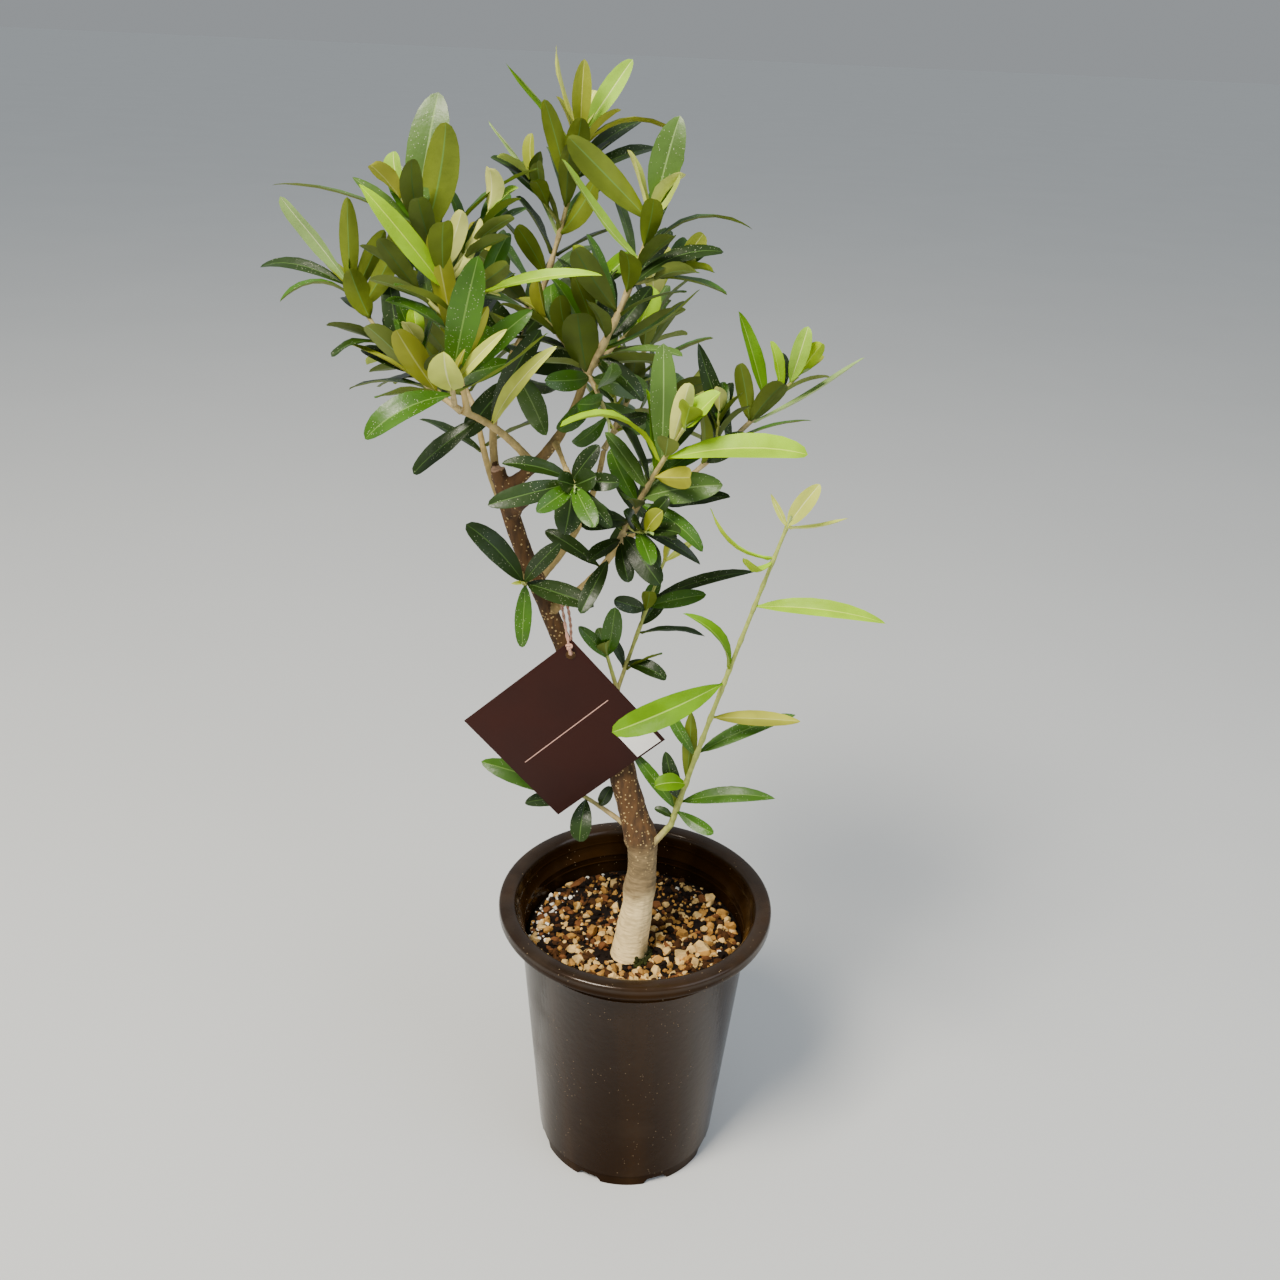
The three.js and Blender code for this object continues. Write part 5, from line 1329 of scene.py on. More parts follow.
@dataclass
class LeafPress:
    """Presses leaves out of one flat blank: two faces that meet at the margin, with a midrib."""

    rows: tuple[float, ...] = (0, 0.05, 0.1, 0.18, 0.29, 0.42, 0.56, 0.7, 0.82, 0.91, 0.97, 1)
    columns: tuple[float, ...] = (-1, -0.55, -0.05, 0.05, 0.55, 1)
    thickness: float = 0.7
    stalk: float = 0.06
    stalk_half: float = 0.75
    slimness: float = 0.92
    broad: float = 0.2
    feet: Pair = (0.62, 0.82)
    tips: tuple[Pair, Pair] = ((0.62, 0.85), (0.46, 0.64))
    folds: tuple[Pair, Pair] = ((12, 26), (6, 16))
    twist: float = 16.0
    wave: float = 0.5
    waves: float = 2.2
    curl: float = 0.12
    sway: float = 0.05
    edge: float = 0.8
    rib_half: float = 0.1
    rib_sunk: float = 0.3
    rib_proud: float = 0.35
    nod_from: float = 0.7
    nod: float = 0.25

    def blank(self) -> Mesh:
        """Makes the blank: x is the share along, y the share across, z 0 above and -1 below."""
        bm = bmesh.new()
        steps, strips = len(self.rows) - 1, len(self.columns) - 1
        bmesh.ops.create_grid(bm, x_segments=steps, y_segments=strips, size=1)
        for vert in bm.verts:
            row, column = round((vert.co.x + 1) / 2 * steps), round((vert.co.y + 1) / 2 * strips)
            across = 0 if row == steps else self.columns[column]
            vert.co = Vector((self.rows[row], across, 0))
        for face in bm.faces:
            middle = face.calc_center_median()
            face.material_index = 2 if abs(middle.y) < 0.02 else 0
        upper = bm.verts[:] + bm.edges[:] + bm.faces[:]
        copy = bmesh.ops.duplicate(bm, geom=upper)["geom"]
        lower = [part for part in copy if isinstance(part, BMFace)]
        bmesh.ops.reverse_faces(bm, faces=lower)
        for face in lower:
            face.material_index = 2 if face.material_index else 1
        for vert in (part for part in copy if isinstance(part, BMVert)):
            margin = abs(vert.co.y) > 0.99 or vert.co.x in (0, 1)
            vert.co.z = 0 if margin else -1
        bmesh.ops.remove_doubles(bm, verts=bm.verts[:], dist=1e-5)
        return to_mesh("blank", bm)

    def half_width(self, t: np.ndarray, foot: float, tip: float) -> np.ndarray:
        """Gives the leaf's half width as a share of its widest, from how slim its foot and its tip are."""
        inner = np.clip((t - self.stalk * 0.5) / (1 - self.stalk * 0.5), 0, 1)
        widest = foot / (foot + tip)
        return (inner / widest) ** foot * ((1 - inner) / (1 - widest)) ** tip

    def press(self, blank: np.ndarray, blade: Blade, dice: Dice) -> np.ndarray:
        """Bends the blank into a leaf.

        Args:
            blank: The blank's vertices.
            blade: The leaf in place, in millimetres.
            dice: Numbers for its fold, twist and waves.

        Returns:
            The leaf's vertices in metres.
        """
        t, across, below = blank[:, 0], blank[:, 1], blank[:, 2]
        fold = math.tan(math.radians(dice.between(*self.folds[blade.kind in OLD_KINDS])))
        twist = math.radians(dice.between(-self.twist, self.twist)) * (t - 0.2)
        wave, phase = dice.between(0.0, self.wave), dice.between(0, 2 * math.pi)
        curl = dice.between(0.0, self.curl)
        sway = dice.between(-self.sway, self.sway) * blade.length
        tip = dice.between(*self.tips[blade.width > self.broad * blade.length])
        half = 0.5 * self.slimness * blade.width * self.half_width(t, dice.between(*self.feet), tip)
        half = np.maximum(half, np.where(t < 0.97, self.stalk_half * np.clip((1.2 - t) * 2, 0, 1), 0))
        tangents = np.array([blade.curve.tangent(share) for share in self.rows])
        places = np.array([blade.curve.point(share) for share in self.rows])
        row = np.searchsorted(self.rows, t - 1e-6)
        along, place = tangents[row], places[row]
        side = np.cross(along, np.array(blade.normal))
        side /= np.linalg.norm(side, axis=1)[:, None]
        face = np.cross(side, along)
        cosine, sine = np.cos(twist)[:, None], np.sin(twist)[:, None]
        side, face = side * cosine + face * sine, face * cosine - side * sine
        x = across * half + sway * t * (1 - t) * 4 * 0.5
        rise = np.abs(across) * half * fold - curl * half * across**4
        rise += wave * np.sin(2 * math.pi * self.waves * t + phase + across) * across**2
        body = self.thickness * (1 - self.edge * across**2) * np.clip(half / 2, 0.35, 1)
        stalk = np.clip(1 - (t - self.stalk) / self.stalk, 0, 1) * self.stalk_half
        rib = np.abs(across) < self.rib_half
        rise += below * (body + stalk) - (below + 1) * self.rib_sunk * rib + stalk * (1 + below) * 0.6
        rise += below * self.rib_proud * rib * (t < 0.9)
        rise += (t > self.nod_from) * (t - self.nod_from) ** 2 * blade.length * -self.nod
        return (place + side * x[:, None] + face * rise[:, None]) * MM


@dataclass
class Foliage:
    """The leaves and twigs that stand for the masses."""

    crown: Crown
    press: LeafPress = field(default_factory=LeafPress)
    twig_sides: int = 8
    ring_step: float = 2.2
    node_swell: float = 0.32
    fine_radius: float = 1.3
    fine_tones: Pair = (0.5, 1.2)
    stout_tones: Pair = (0.0, 0.7)
    swell_length: float = 1.3
    bud: Pair = (9.0, 2.6)
    bud_sizes: Pair = (0.7, 1.3)
    bud_open: float = 0.22
    bud_arch: float = 0.6
    bud_share: float = 0.99

    def materials(self) -> tuple[Material, ...]:
        """Gives three materials for each kind: upper face, lower face and midrib."""
        made = []
        for kind in Kind:
            upper, lower, rib = kind.value
            name = kind.name.lower()
            old = kind in OLD_KINDS
            specks, rough, gloss = (0.55, 0.36, 0.36) if old else (0, 0.44, 0.16)
            made.append(LeafFinish(f"leaf_{name}", upper, rough, specks, gloss=gloss).material())
            made.append(LeafFinish(f"leaf_{name}_below", lower, 0.6).material())
            made.append(LeafFinish(f"leaf_{name}_rib", rib, 0.5, 0, 0.08).material())
        return tuple(made)

    def buds(self) -> list[Blade]:
        """Gives the pair of folded young leaves at each shoot's tip."""
        pairs = []
        for stem in self.crown.stems:
            limb, dice = stem.limb, Dice(stem.seed + 3)
            tangent = limb.curve.tangent(1)
            side, face = cross_frame(tangent, steady_reference(tangent))
            turn = dice.between(0, math.pi)
            for half in (0, math.pi):
                outward = around(side, face, turn + half)
                direction = (tangent + outward * self.bud_open).normalized()
                length, kind = self.bud[0] * dice.between(*self.bud_sizes), dice.pick((CREAM, SILVER))
                leaf = Leaf(self.bud_share, 0, 0, length, self.bud[1], SKYWARD, kind, self.bud_arch)
                pairs.append(self.crown.blade(stem.mass, limb, leaf, direction, -outward))
        return pairs

    def build_leaves(self, names: tuple[str, ...]) -> Object:
        """Makes all the leaves as one piece, which stands for the named masses."""
        kinds = {kind: 3 * number for number, kind in enumerate(Kind)}
        blank = self.press.blank()
        flat = np.array([vert.co for vert in blank.vertices])
        faces = np.array([face.material_index for face in blank.polygons])
        bm = bmesh.new()
        for number, blade in enumerate([*self.crown.standing.blades, *self.buds()]):
            places = self.press.press(flat, blade, Dice(SEED + 31 * number))
            stamp(bm, blank, places, faces + kinds[blade.kind])
        bpy.data.meshes.remove(blank)
        bmesh.ops.dissolve_degenerate(bm, dist=1e-6, edges=bm.edges[:])
        return Dress("leaves", "foliage", self.materials(), names, 75).put_on(bm)

    def build_twigs(self) -> Object:
        """Makes the shoots and side twigs as one piece, swollen where their leaves stand."""
        bm = bmesh.new()
        thin = bm.verts.layers.float.new("thin")
        for stem in self.crown.stems:
            limb, plan = stem.limb, stem.plan
            count = max(6, round(limb.curve.length() / self.ring_step))
            nodes = [leaf.share for leaf in plan.leaves] + even_shares(6)
            shares = even_shares(count)
            radii = []
            for t in shares:
                near = max(math.exp(-(((t - at) * count / self.swell_length) ** 2)) for at in nodes)
                radii.append(limb.radius(t) * (1 + self.node_swell * near) * MM)
            verts = sweep(bm, [limb.curve.point(t) * MM for t in shares], radii, self.twig_sides)
            own_tones = self.fine_tones if limb.radius(0) < self.fine_radius else self.stout_tones
            tones = plan.tones or own_tones
            for place, vert in enumerate(verts):
                vert[thin] = min(1.0, mix(*tones, place / len(verts)))
        bmesh.ops.recalc_face_normals(bm, faces=bm.faces[:])
        return Dress("twigs", "foliage", (TwigFinish().material(),), (), 60).put_on(bm)


# Wood


@dataclass
class Wood:
    """The trunk, its pruned stubs and the boughs, fused and given the bark's relief."""

    skeleton: Skeleton
    sides: int = 20
    ring_step: float = 2.0
    voxel: float = 0.8
    collar: float = 0.35
    collar_length: float = 6.0
    smoothings: int = 3
    bark_relief: float = 0.35
    grain_scale: float = 320.0
    grain_stretch: float = 0.35
    lumps: float = 0.55
    lump_scale: float = 60.0
    stout_radius: float = 9.0
    thin_radius: float = 4.2
    cut_depth: float = 0.0004
    cut_reach: float = 0.007
    cut_relief: float = 0.3

    def add_limb(self, bm: BMesh, limb: Limb, collar: float) -> None:
        """Draws one limb, thicker at its foot by the collar's share."""
        length = limb.curve.length()
        shares = even_shares(max(6, round(length / self.ring_step)))
        swells = [1 + collar * math.exp(-((t * length / self.collar_length) ** 2)) for t in shares]
        radii = [limb.radius(t) * swell * MM for t, swell in zip(shares, swells)]
        sweep(bm, [limb.curve.point(t) * MM for t in shares], radii, self.sides)

    def build(self, names: tuple[str, ...]) -> Object:
        """Makes the wood as one piece, which stands for the named nodes."""
        bm = bmesh.new()
        self.add_limb(bm, self.skeleton.trunk, 0)
        for limb in [*self.skeleton.stubs, *self.skeleton.boughs.values()]:
            self.add_limb(bm, limb, self.collar)
        bmesh.ops.recalc_face_normals(bm, faces=bm.faces[:])
        rough = loose_object("wood_rough", bm)
        mesh = with_modifier(rough, "REMESH", mode="VOXEL", voxel_size=self.voxel * MM)
        bpy.data.objects.remove(rough)
        bm = from_mesh(mesh)
        axes = {"use_axis_x": True, "use_axis_y": True, "use_axis_z": True}
        for _ in range(self.smoothings):
            bmesh.ops.smooth_vert(bm, verts=bm.verts[:], factor=0.5, **axes)
        self.give_relief(bm)
        geometry = bm.verts[:] + bm.edges[:] + bm.faces[:]
        soil = UP * (SOIL_TOP * MM)
        kept = bmesh.ops.bisect_plane(bm, geom=geometry, plane_co=soil, plane_no=UP, clear_inner=True)
        rim = [part for part in kept["geom_cut"] if isinstance(part, BMEdge)]
        bmesh.ops.contextual_create(bm, geom=rim)
        return Dress("wood", "bark", (BarkFinish().material(),), names, 180).put_on(bm)

    def give_relief(self, bm: BMesh) -> None:
        """Moves the surface out and in by the bark's grain, and marks thin limbs and cut faces."""
        thin = bm.verts.layers.float.new("thin")
        cut = bm.verts.layers.float.new("cut")
        balls = [ball for limb in self.skeleton.limbs() for ball in limb.balls()]
        places = np.array([place for place, _ in balls]) * MM
        radii = np.array([radius for _, radius in balls])
        cut_limbs = [self.skeleton.trunk, *self.skeleton.stubs]
        ends = [(limb.curve.point(1) * MM, limb.curve.tangent(1)) for limb in cut_limbs]
        bm.normal_update()
        for vert in bm.verts:
            gaps = np.linalg.norm(places - np.array(vert.co), axis=1) - radii * MM
            radius = radii[int(np.argmin(gaps))]
            stout = min(1.0, radius / self.stout_radius)
            drawn = Vector((vert.co.x, vert.co.y, vert.co.z * self.grain_stretch))
            grain = noise.fractal(drawn * self.grain_scale, 1.0, 2.0, 3)
            lump = noise.noise(vert.co * self.lump_scale)
            lift = (self.bark_relief * grain * (0.35 + 0.65 * stout) + self.lumps * lump * stout) * MM
            vert[thin] = 1 - min(1.0, radius / self.thin_radius)
            for place, direction in ends:
                away = vert.co - place
                faces_out = away.dot(direction) > -self.cut_depth and vert.normal.dot(direction) > 0.5
                if faces_out and away.length < self.cut_reach:
                    vert[cut] = 1
                    lift *= self.cut_relief
            vert.co += vert.normal * lift


# Pot, soil, tag and cord


@dataclass
class Pot:
    """A round nursery pot with a rolled lip, a foot ring with notches, and drain holes."""

    rim_radius: float = 90.0
    rim_height: float = 198.2
    lip_inner: float = 78.7
    lip_depth: float = 9.0
    neck_radius: float = 76.6
    foot_radius: float = 60.3
    foot_height: float = 9.5
    foot_step: float = 1.6
    foot_ring: float = 2.6
    wall: float = 1.9
    floor_height: float = 4.3
    floor_thick: float = 2.2
    boss_radius: float = 20.0
    rib: float = 0.7
    notches: int = 8
    notch_width: float = 12.0
    notch_height: float = 4.0
    bead_half: float = 0.8
    bead_flat: float = 0.3
    roll_half: float = 2.6
    drains: int = 6
    drain_radius: float = 4.5
    drain_circle: float = 40.0
    steps: int = 128

    def outer(self, height: float) -> float:
        """Gives the wall's outer radius at a height."""
        top = self.rim_height - self.lip_depth
        share = (height - self.foot_height) / (top - self.foot_height)
        return mix(self.foot_radius + self.foot_step, self.neck_radius, share)

    def inner(self, height: float) -> float:
        """Gives the wall's inner radius at a height."""
        return self.outer(height) - self.wall

    def ring(self, height: float, radius: float, out: float) -> list[Pair]:
        """Gives the profile, upwards, of a fine ring that stands out of a wall, or inwards below 0."""
        offs = ((-self.bead_half, 0), (-self.bead_flat, out), (self.bead_flat, out), (self.bead_half, 0))
        return [(radius + step, height + off) for off, step in offs]

    def profile(self) -> list[Pair]:
        """Gives the whole section, from the axis below round to the axis above."""
        rim, top, lip = self.rim_radius, self.rim_height, self.lip_inner
        lip_foot = top - self.lip_depth
        ring_inner = self.foot_radius - self.foot_ring
        rib_foot = lip_foot - 10
        low_rib, high_rib = self.outer(rib_foot) + self.rib, self.outer(lip_foot) + self.rib
        middle, half = rim - self.roll_half, self.roll_half
        turns = [math.radians(degrees) for degrees in (0, 30, 60, 90)]
        roll = [(middle + half * math.cos(turn), top - half + half * math.sin(turn)) for turn in turns]
        floor_top = self.floor_height + self.floor_thick
        upward = [
            (0, 0), (self.boss_radius, 0), (self.boss_radius + 3, self.floor_height),
            (ring_inner, self.floor_height), (ring_inner, 0), (self.foot_radius, 0),
            (self.foot_radius, self.foot_height - 1), (self.outer(self.foot_height), self.foot_height),
            *self.ring(rib_foot - 4, self.outer(rib_foot - 4), 0.35),
            (self.outer(rib_foot), rib_foot), (low_rib, rib_foot + 0.8),
            (high_rib, lip_foot - 0.4), (high_rib + 0.5, lip_foot),
            (rim - 1.6, lip_foot), (rim - 0.5, lip_foot + 0.5), (rim, lip_foot + 1.8),
        ]
        downward = [
            (lip + 3.4, top - 0.1), (lip + 1.6, top - 0.9), (lip + 0.4, top - 2.2), (lip, top - 4),
            (lip - 1.5, lip_foot - 2),
            *reversed(self.ring(lip_foot - 9, self.inner(lip_foot - 9), -0.5)),
            *reversed(self.ring(lip_foot - 14, self.inner(lip_foot - 14), -0.5)),
            (self.inner(self.foot_height), self.foot_height), (self.foot_radius - 2, floor_top),
            (self.boss_radius + 2, floor_top), (self.boss_radius - 1, self.floor_thick),
            (0, self.floor_thick),
        ]
        return [(radius * MM, height * MM) for radius, height in [*upward, *roll, *downward]]

    def build(self) -> Object:
        """Makes the pot, with its notches and drain holes."""
        bm = bmesh.new()
        turned(bm, self.profile(), self.steps)
        for vert in bm.verts:
            radius = math.hypot(vert.co.x, vert.co.y) / MM
            if vert.co.z < 1e-6 and radius > self.foot_radius - self.foot_ring - 0.5:
                turn = (math.degrees(math.atan2(vert.co.y, vert.co.x)) * self.notches / 360 - 0.5) % 1
                off = min(turn, 1 - turn) * 2 * math.pi * self.foot_radius / self.notches
                if off < self.notch_width / 2:
                    vert.co.z = self.notch_height * MM
        holes = bmesh.new()
        for number in range(self.drains):
            angle = 2 * math.pi * number / self.drains
            place = Vector((math.cos(angle), math.sin(angle), 0)) * self.drain_circle
            place.z = self.floor_height
            drill(holes, Matrix.Translation(place * MM), self.drain_radius, 4 * self.floor_height, 20)
        return Dress("pot_shell", "pot", (PotFinish().material(),), ("pot",), 32).put_on(cut_out(bm, holes))


class Grain(Enum):
    """The soil's grains: colour, share at the back and at the front, least and most half size in mm."""

    CLAY = ("ac7e3c", 0.17, 0.27, 1.5, 4.8)
    SAND = ("dab674", 0.06, 0.32, 1.6, 4.8)
    ORANGE = ("6c4322", 0.16, 0.08, 1.5, 4.6)
    PUMICE = ("ece6d8", 0.03, 0.02, 0.8, 1.8)
    BROWN = ("44290f", 0.28, 0.17, 1.4, 4.6)
    HUMUS = ("150b04", 0.30, 0.14, 1.2, 4.2)
    MOSS = ("2b2f0d", 0.0, 0.0, 0.8, 1.7)


CLAY, SAND, ORANGE, PUMICE, BROWN, HUMUS, MOSS = Grain
CHIP_KINDS = (HUMUS, HUMUS, BROWN, ORANGE)
CHOSEN_GRAINS = (
    (-16, 52, 4.1, SAND), (-28, -2, 5.8, CLAY), (-29, -24, 3.7, SAND), (-35, -32, 4.8, SAND),
    (-23, -37, 4.1, SAND), (46, -16, 6.8, SAND), (32, -23, 5.2, SAND), (18, -17, 4.8, SAND),
    (33, -2, 5.6, CLAY), (22, -31, 4.1, SAND), (15, -39, 4.1, SAND), (2, -42, 3.2, SAND),
    (41, -30, 4.1, SAND), (52, 39, 5.1, SAND), (60, 23, 5.5, CLAY), (66, 8, 3.4, BROWN),
    (17, -4, 4.0, SAND), (26, 13, 3.4, CLAY), (-53, 27, 3.8, CLAY), (-40, 25, 3.8, CLAY),
    (-20, -17, 4.2, ORANGE), (21, 30, 3.0, SAND), (15, 14, 2.9, SAND), (-25, 32, 3.5, CLAY),
    (-9, 58, 2.8, CLAY), (11, -35, 2.8, BROWN), (29, 50, 2.4, PUMICE), (-57, 26, 2.1, PUMICE),
    (-65, 6, 2.0, PUMICE), (-59, 38, 2.2, PUMICE), (-35, 61, 1.8, PUMICE), (57, -18, 2.0, PUMICE),
    (-63, -11, 2.0, PUMICE), (62, -17, 1.3, PUMICE), (-13, 31, 1.7, PUMICE), (41, 40, 1.2, PUMICE),
    (-31, -10, 1.4, PUMICE), (-45, 35, 1.7, PUMICE), (50, 46, 1.2, PUMICE),
)


@dataclass
class Soil:
    """Gritty soil: a bed with a rough top, loose angular grains and bits of bark."""

    pot: Pot
    trunk_foot: Pair = (-2.5, -22.0)
    trunk_radius: float = 12.0
    grains: int = 1900
    chips: int = 130
    chip_halves: Pair = (2.5, 6.5)
    chip_flat: Triple = (1.0, 0.4, 0.2)
    templates: int = 9
    corners: int = 26
    corner_reach: Pair = (0.84, 1.04)
    worn: float = 0.16
    settled: float = 1.2
    slope: float = 0.9
    low_edge: float = 0.86
    wall_drop: float = 2.2
    wall_gap: float = 0.6
    bed_rings: int = 30
    bed_steps: int = 96
    widths: Pair = (0.7, 0.95)
    heights: Pair = (0.55, 0.85)
    sunk: Pair = (-0.3, 0.6)
    chosen_shape: Triple = (1, 0.86, 0.72)
    chosen_lift: float = 0.35
    bark_place: Pair = (-40.5, 50.0)
    bark_halves: Triple = (8.5, 2.8, 1.7)
    bark_turn: float = 51.0
    bark_lift: float = 2.6
    perlite: int = 46
    perlite_arc: Pair = (140.0, 196.0)
    perlite_reach: Pair = (0.76, 0.97)
    perlite_halves: Pair = (0.6, 1.8)
    perlite_lift: float = 1.2
    moss: int = 60
    moss_arc: Pair = (-70.0, 12.0)
    moss_reach: Pair = (-0.4, 3.0)
    moss_rise: float = 6.0

    def top(self, x: float, y: float) -> float:
        """Gives the bed's height in millimetres: higher at the front right, lower at the wall."""
        edge = math.hypot(x, y) / self.pot.inner(SOIL_TOP)
        rough = noise.noise(Vector((x, y, 0)) * 0.09) * 0.9 + noise.noise(Vector((x, y, 5)) * 0.3) * 0.4
        fall = self.wall_drop * max(0.0, edge - self.low_edge) / (1 - self.low_edge)
        return SOIL_TOP - self.settled + rough + self.slope * (x - y) / 100 - fall

    def build_bed(self) -> Object:
        """Makes the bed."""
        pot = self.pot
        low = pot.floor_height + pot.floor_thick + 0.3
        wall = pot.inner(SOIL_TOP) - self.wall_gap
        rings = [(wall * i / self.bed_rings, SOIL_TOP) for i in range(self.bed_rings, -1, -1)]
        shoulder = (pot.inner(pot.foot_height) - self.wall_gap, pot.foot_height + 1)
        outline = [(0, low), (pot.foot_radius - 3, low), shoulder, *rings]
        bm = bmesh.new()
        turned(bm, [(radius * MM, height * MM) for radius, height in outline], self.bed_steps)
        for vert in bm.verts:
            if vert.co.z > (SOIL_TOP - 1) * MM:
                vert.co.z = self.top(vert.co.x / MM, vert.co.y / MM) * MM
        # painted shade: the bed is dark soil, made near black so that the gaps between the grains read as
        # shade
        finish = GrainFinish("soil_bed_painted_shade", "140b05")
        return Dress("soil_bed", "soil", (finish.material(),), ("soil",), 180).put_on(bm)

    def pebble(self, seed: int) -> Shape:
        """Makes a grain's blank and its points, 2 across: the hull of scattered corners, a little worn."""
        dice = Dice(SEED + 60 + seed)
        bm = bmesh.new()
        for _ in range(self.corners):
            corner = heading(dice.between(0, 360), math.degrees(math.asin(dice.between(-1, 1))))
            bm.verts.new(corner * dice.between(*self.corner_reach))
        bmesh.ops.convex_hull(bm, input=bm.verts[:])
        loose = [vert for vert in bm.verts if not vert.link_faces]
        bmesh.ops.delete(bm, geom=loose, context="VERTS")
        for vert in bm.verts:
            vert.co *= 1 + self.worn * noise.noise(vert.co * 1.6 + Vector((seed * 3.7, 0, 0)))
        bmesh.ops.recalc_face_normals(bm, faces=bm.faces[:])
        mesh = to_mesh("pebble", bm)
        return mesh, np.array([vert.co for vert in mesh.vertices])

    def kind_at(self, front: float, roll: float) -> Grain:
        """Gives a grain's kind from a throw; front is 0 at the pot's back left and 1 at its front right."""
        for kind in Grain:
            _, back_share, front_share, _, _ = kind.value
            roll -= mix(back_share, front_share, front)
            if roll < 0:
                return kind
        return HUMUS

    def lay(
        self, bm: BMesh, shape: Shape, kind: Grain, halves: Sequence[float], turn: Matrix, place: Triple
    ) -> None:
        """Lays one grain.

        Args:
            bm: The mesh that gets it.
            shape: Its blank and the blank's points.
            kind: Its kind.
            halves: Half its length, width and thickness in millimetres.
            turn: How it is turned.
            place: Its middle in millimetres.
        """
        blank, points = shape
        stretch = Matrix.Diagonal((*(half * MM for half in halves), 1))
        matrix = np.array(Matrix.Translation(Vector(place) * MM) @ turn @ stretch)
        numbers = np.full(len(blank.polygons), list(Grain).index(kind))
        stamp(bm, blank, points @ matrix[:3, :3].T + matrix[:3, 3], numbers)

    def tumble(self, dice: Dice) -> Matrix:
        """Gives a turn in any direction."""
        angle = dice.between(0, 6.3)
        return Matrix.Rotation(angle, 4, heading(dice.between(0, 360), dice.between(-90, 90)))

    def lay_chosen(self, bm: BMesh, shapes: Sequence[Shape], dice: Dice) -> None:
        """Lays the larger grains, the strip of bark and the white bits at the left wall."""
        for number, (x, y, half, kind) in enumerate(CHOSEN_GRAINS):
            place = (x, y, self.top(x, y) + self.chosen_lift * half)
            halves = [half * part for part in self.chosen_shape]
            self.lay(bm, shapes[number % len(shapes)], kind, halves, self.tumble(dice), place)
        x, y = self.bark_place
        turn = Matrix.Rotation(math.radians(self.bark_turn), 4, "Z")
        self.lay(bm, shapes[0], ORANGE, self.bark_halves, turn, (x, y, self.top(x, y) + self.bark_lift))
        for number in range(self.perlite):
            angle = math.radians(dice.between(*self.perlite_arc))
            radius = self.pot.inner(SOIL_TOP) * dice.between(*self.perlite_reach)
            half = mix(*self.perlite_halves, dice.roll() ** 2)
            x, y = radius * math.cos(angle), radius * math.sin(angle)
            place = (x, y, self.top(x, y) + self.perlite_lift)
            self.lay(bm, shapes[number % len(shapes)], PUMICE, (half,) * 3, self.tumble(dice), place)

    def lay_moss(self, bm: BMesh, shapes: Sequence[Shape], dice: Dice) -> None:
        """Lays crumbs of moss against the front right of the trunk's foot."""
        for number in range(self.moss):
            angle, out = math.radians(dice.between(*self.moss_arc)), dice.roll() ** 1.5
            radius, half = self.trunk_radius + mix(*self.moss_reach, out), dice.between(*MOSS.value[3:])
            x = self.trunk_foot[0] + radius * math.cos(angle)
            y = self.trunk_foot[1] + radius * math.sin(angle)
            place = (x, y, self.top(x, y) + self.moss_rise * (1 - out) ** 2 * dice.roll() + 0.4)
            self.lay(bm, shapes[number % len(shapes)], MOSS, (half,) * 3, self.tumble(dice), place)

    def build_grains(self) -> Object:
        """Makes the loose grains and chips as one piece."""
        dice = Dice(SEED + 5)
        shapes = [self.pebble(seed) for seed in range(self.templates)]
        bm = bmesh.new()
        laid = 0
        wall = self.pot.inner(SOIL_TOP) - 1.5
        while laid < self.grains:
            chip = laid >= self.grains - self.chips
            radius, angle = wall * math.sqrt(dice.roll()), dice.between(0, 2 * math.pi)
            x, y = radius * math.cos(angle), radius * math.sin(angle)
            front = min(1.0, max(0.0, 0.5 + (0.45 * x - 0.9 * y) / (1.6 * wall) + dice.between(-0.2, 0.2)))
            kind = self.kind_at(front, dice.roll())
            if chip:
                kind, size = dice.pick(CHIP_KINDS), dice.between(*self.chip_halves)
            else:
                size = mix(*kind.value[3:], dice.roll() ** 2.2) * mix(0.8, 1.0, front)
            turn = self.tumble(dice)
            flat = self.chip_flat
            if not chip:
                flat = (1.0, dice.between(*self.widths), dice.between(*self.heights))
            sunk = dice.between(*self.sunk)
            if radius > wall - size:
                continue
            if math.hypot(x - self.trunk_foot[0], y - self.trunk_foot[1]) < self.trunk_radius + 0.55 * size:
                continue
            height = self.top(x, y) + sunk * size * (0.3 if chip else 1)
            halves = [size * part for part in flat]
            self.lay(bm, shapes[laid % len(shapes)], kind, halves, turn, (x, y, height))
            laid += 1
        self.lay_chosen(bm, shapes, dice)
        self.lay_moss(bm, shapes, dice)
        for shape, _ in shapes:
            bpy.data.meshes.remove(shape)
        finishes = [GrainFinish(f"grain_{kind.name.lower()}", kind.value[0]) for kind in Grain]
        materials = tuple(finish.material() for finish in finishes)
        return Dress("soil_grains", "soil", materials, (), 32).put_on(bm)


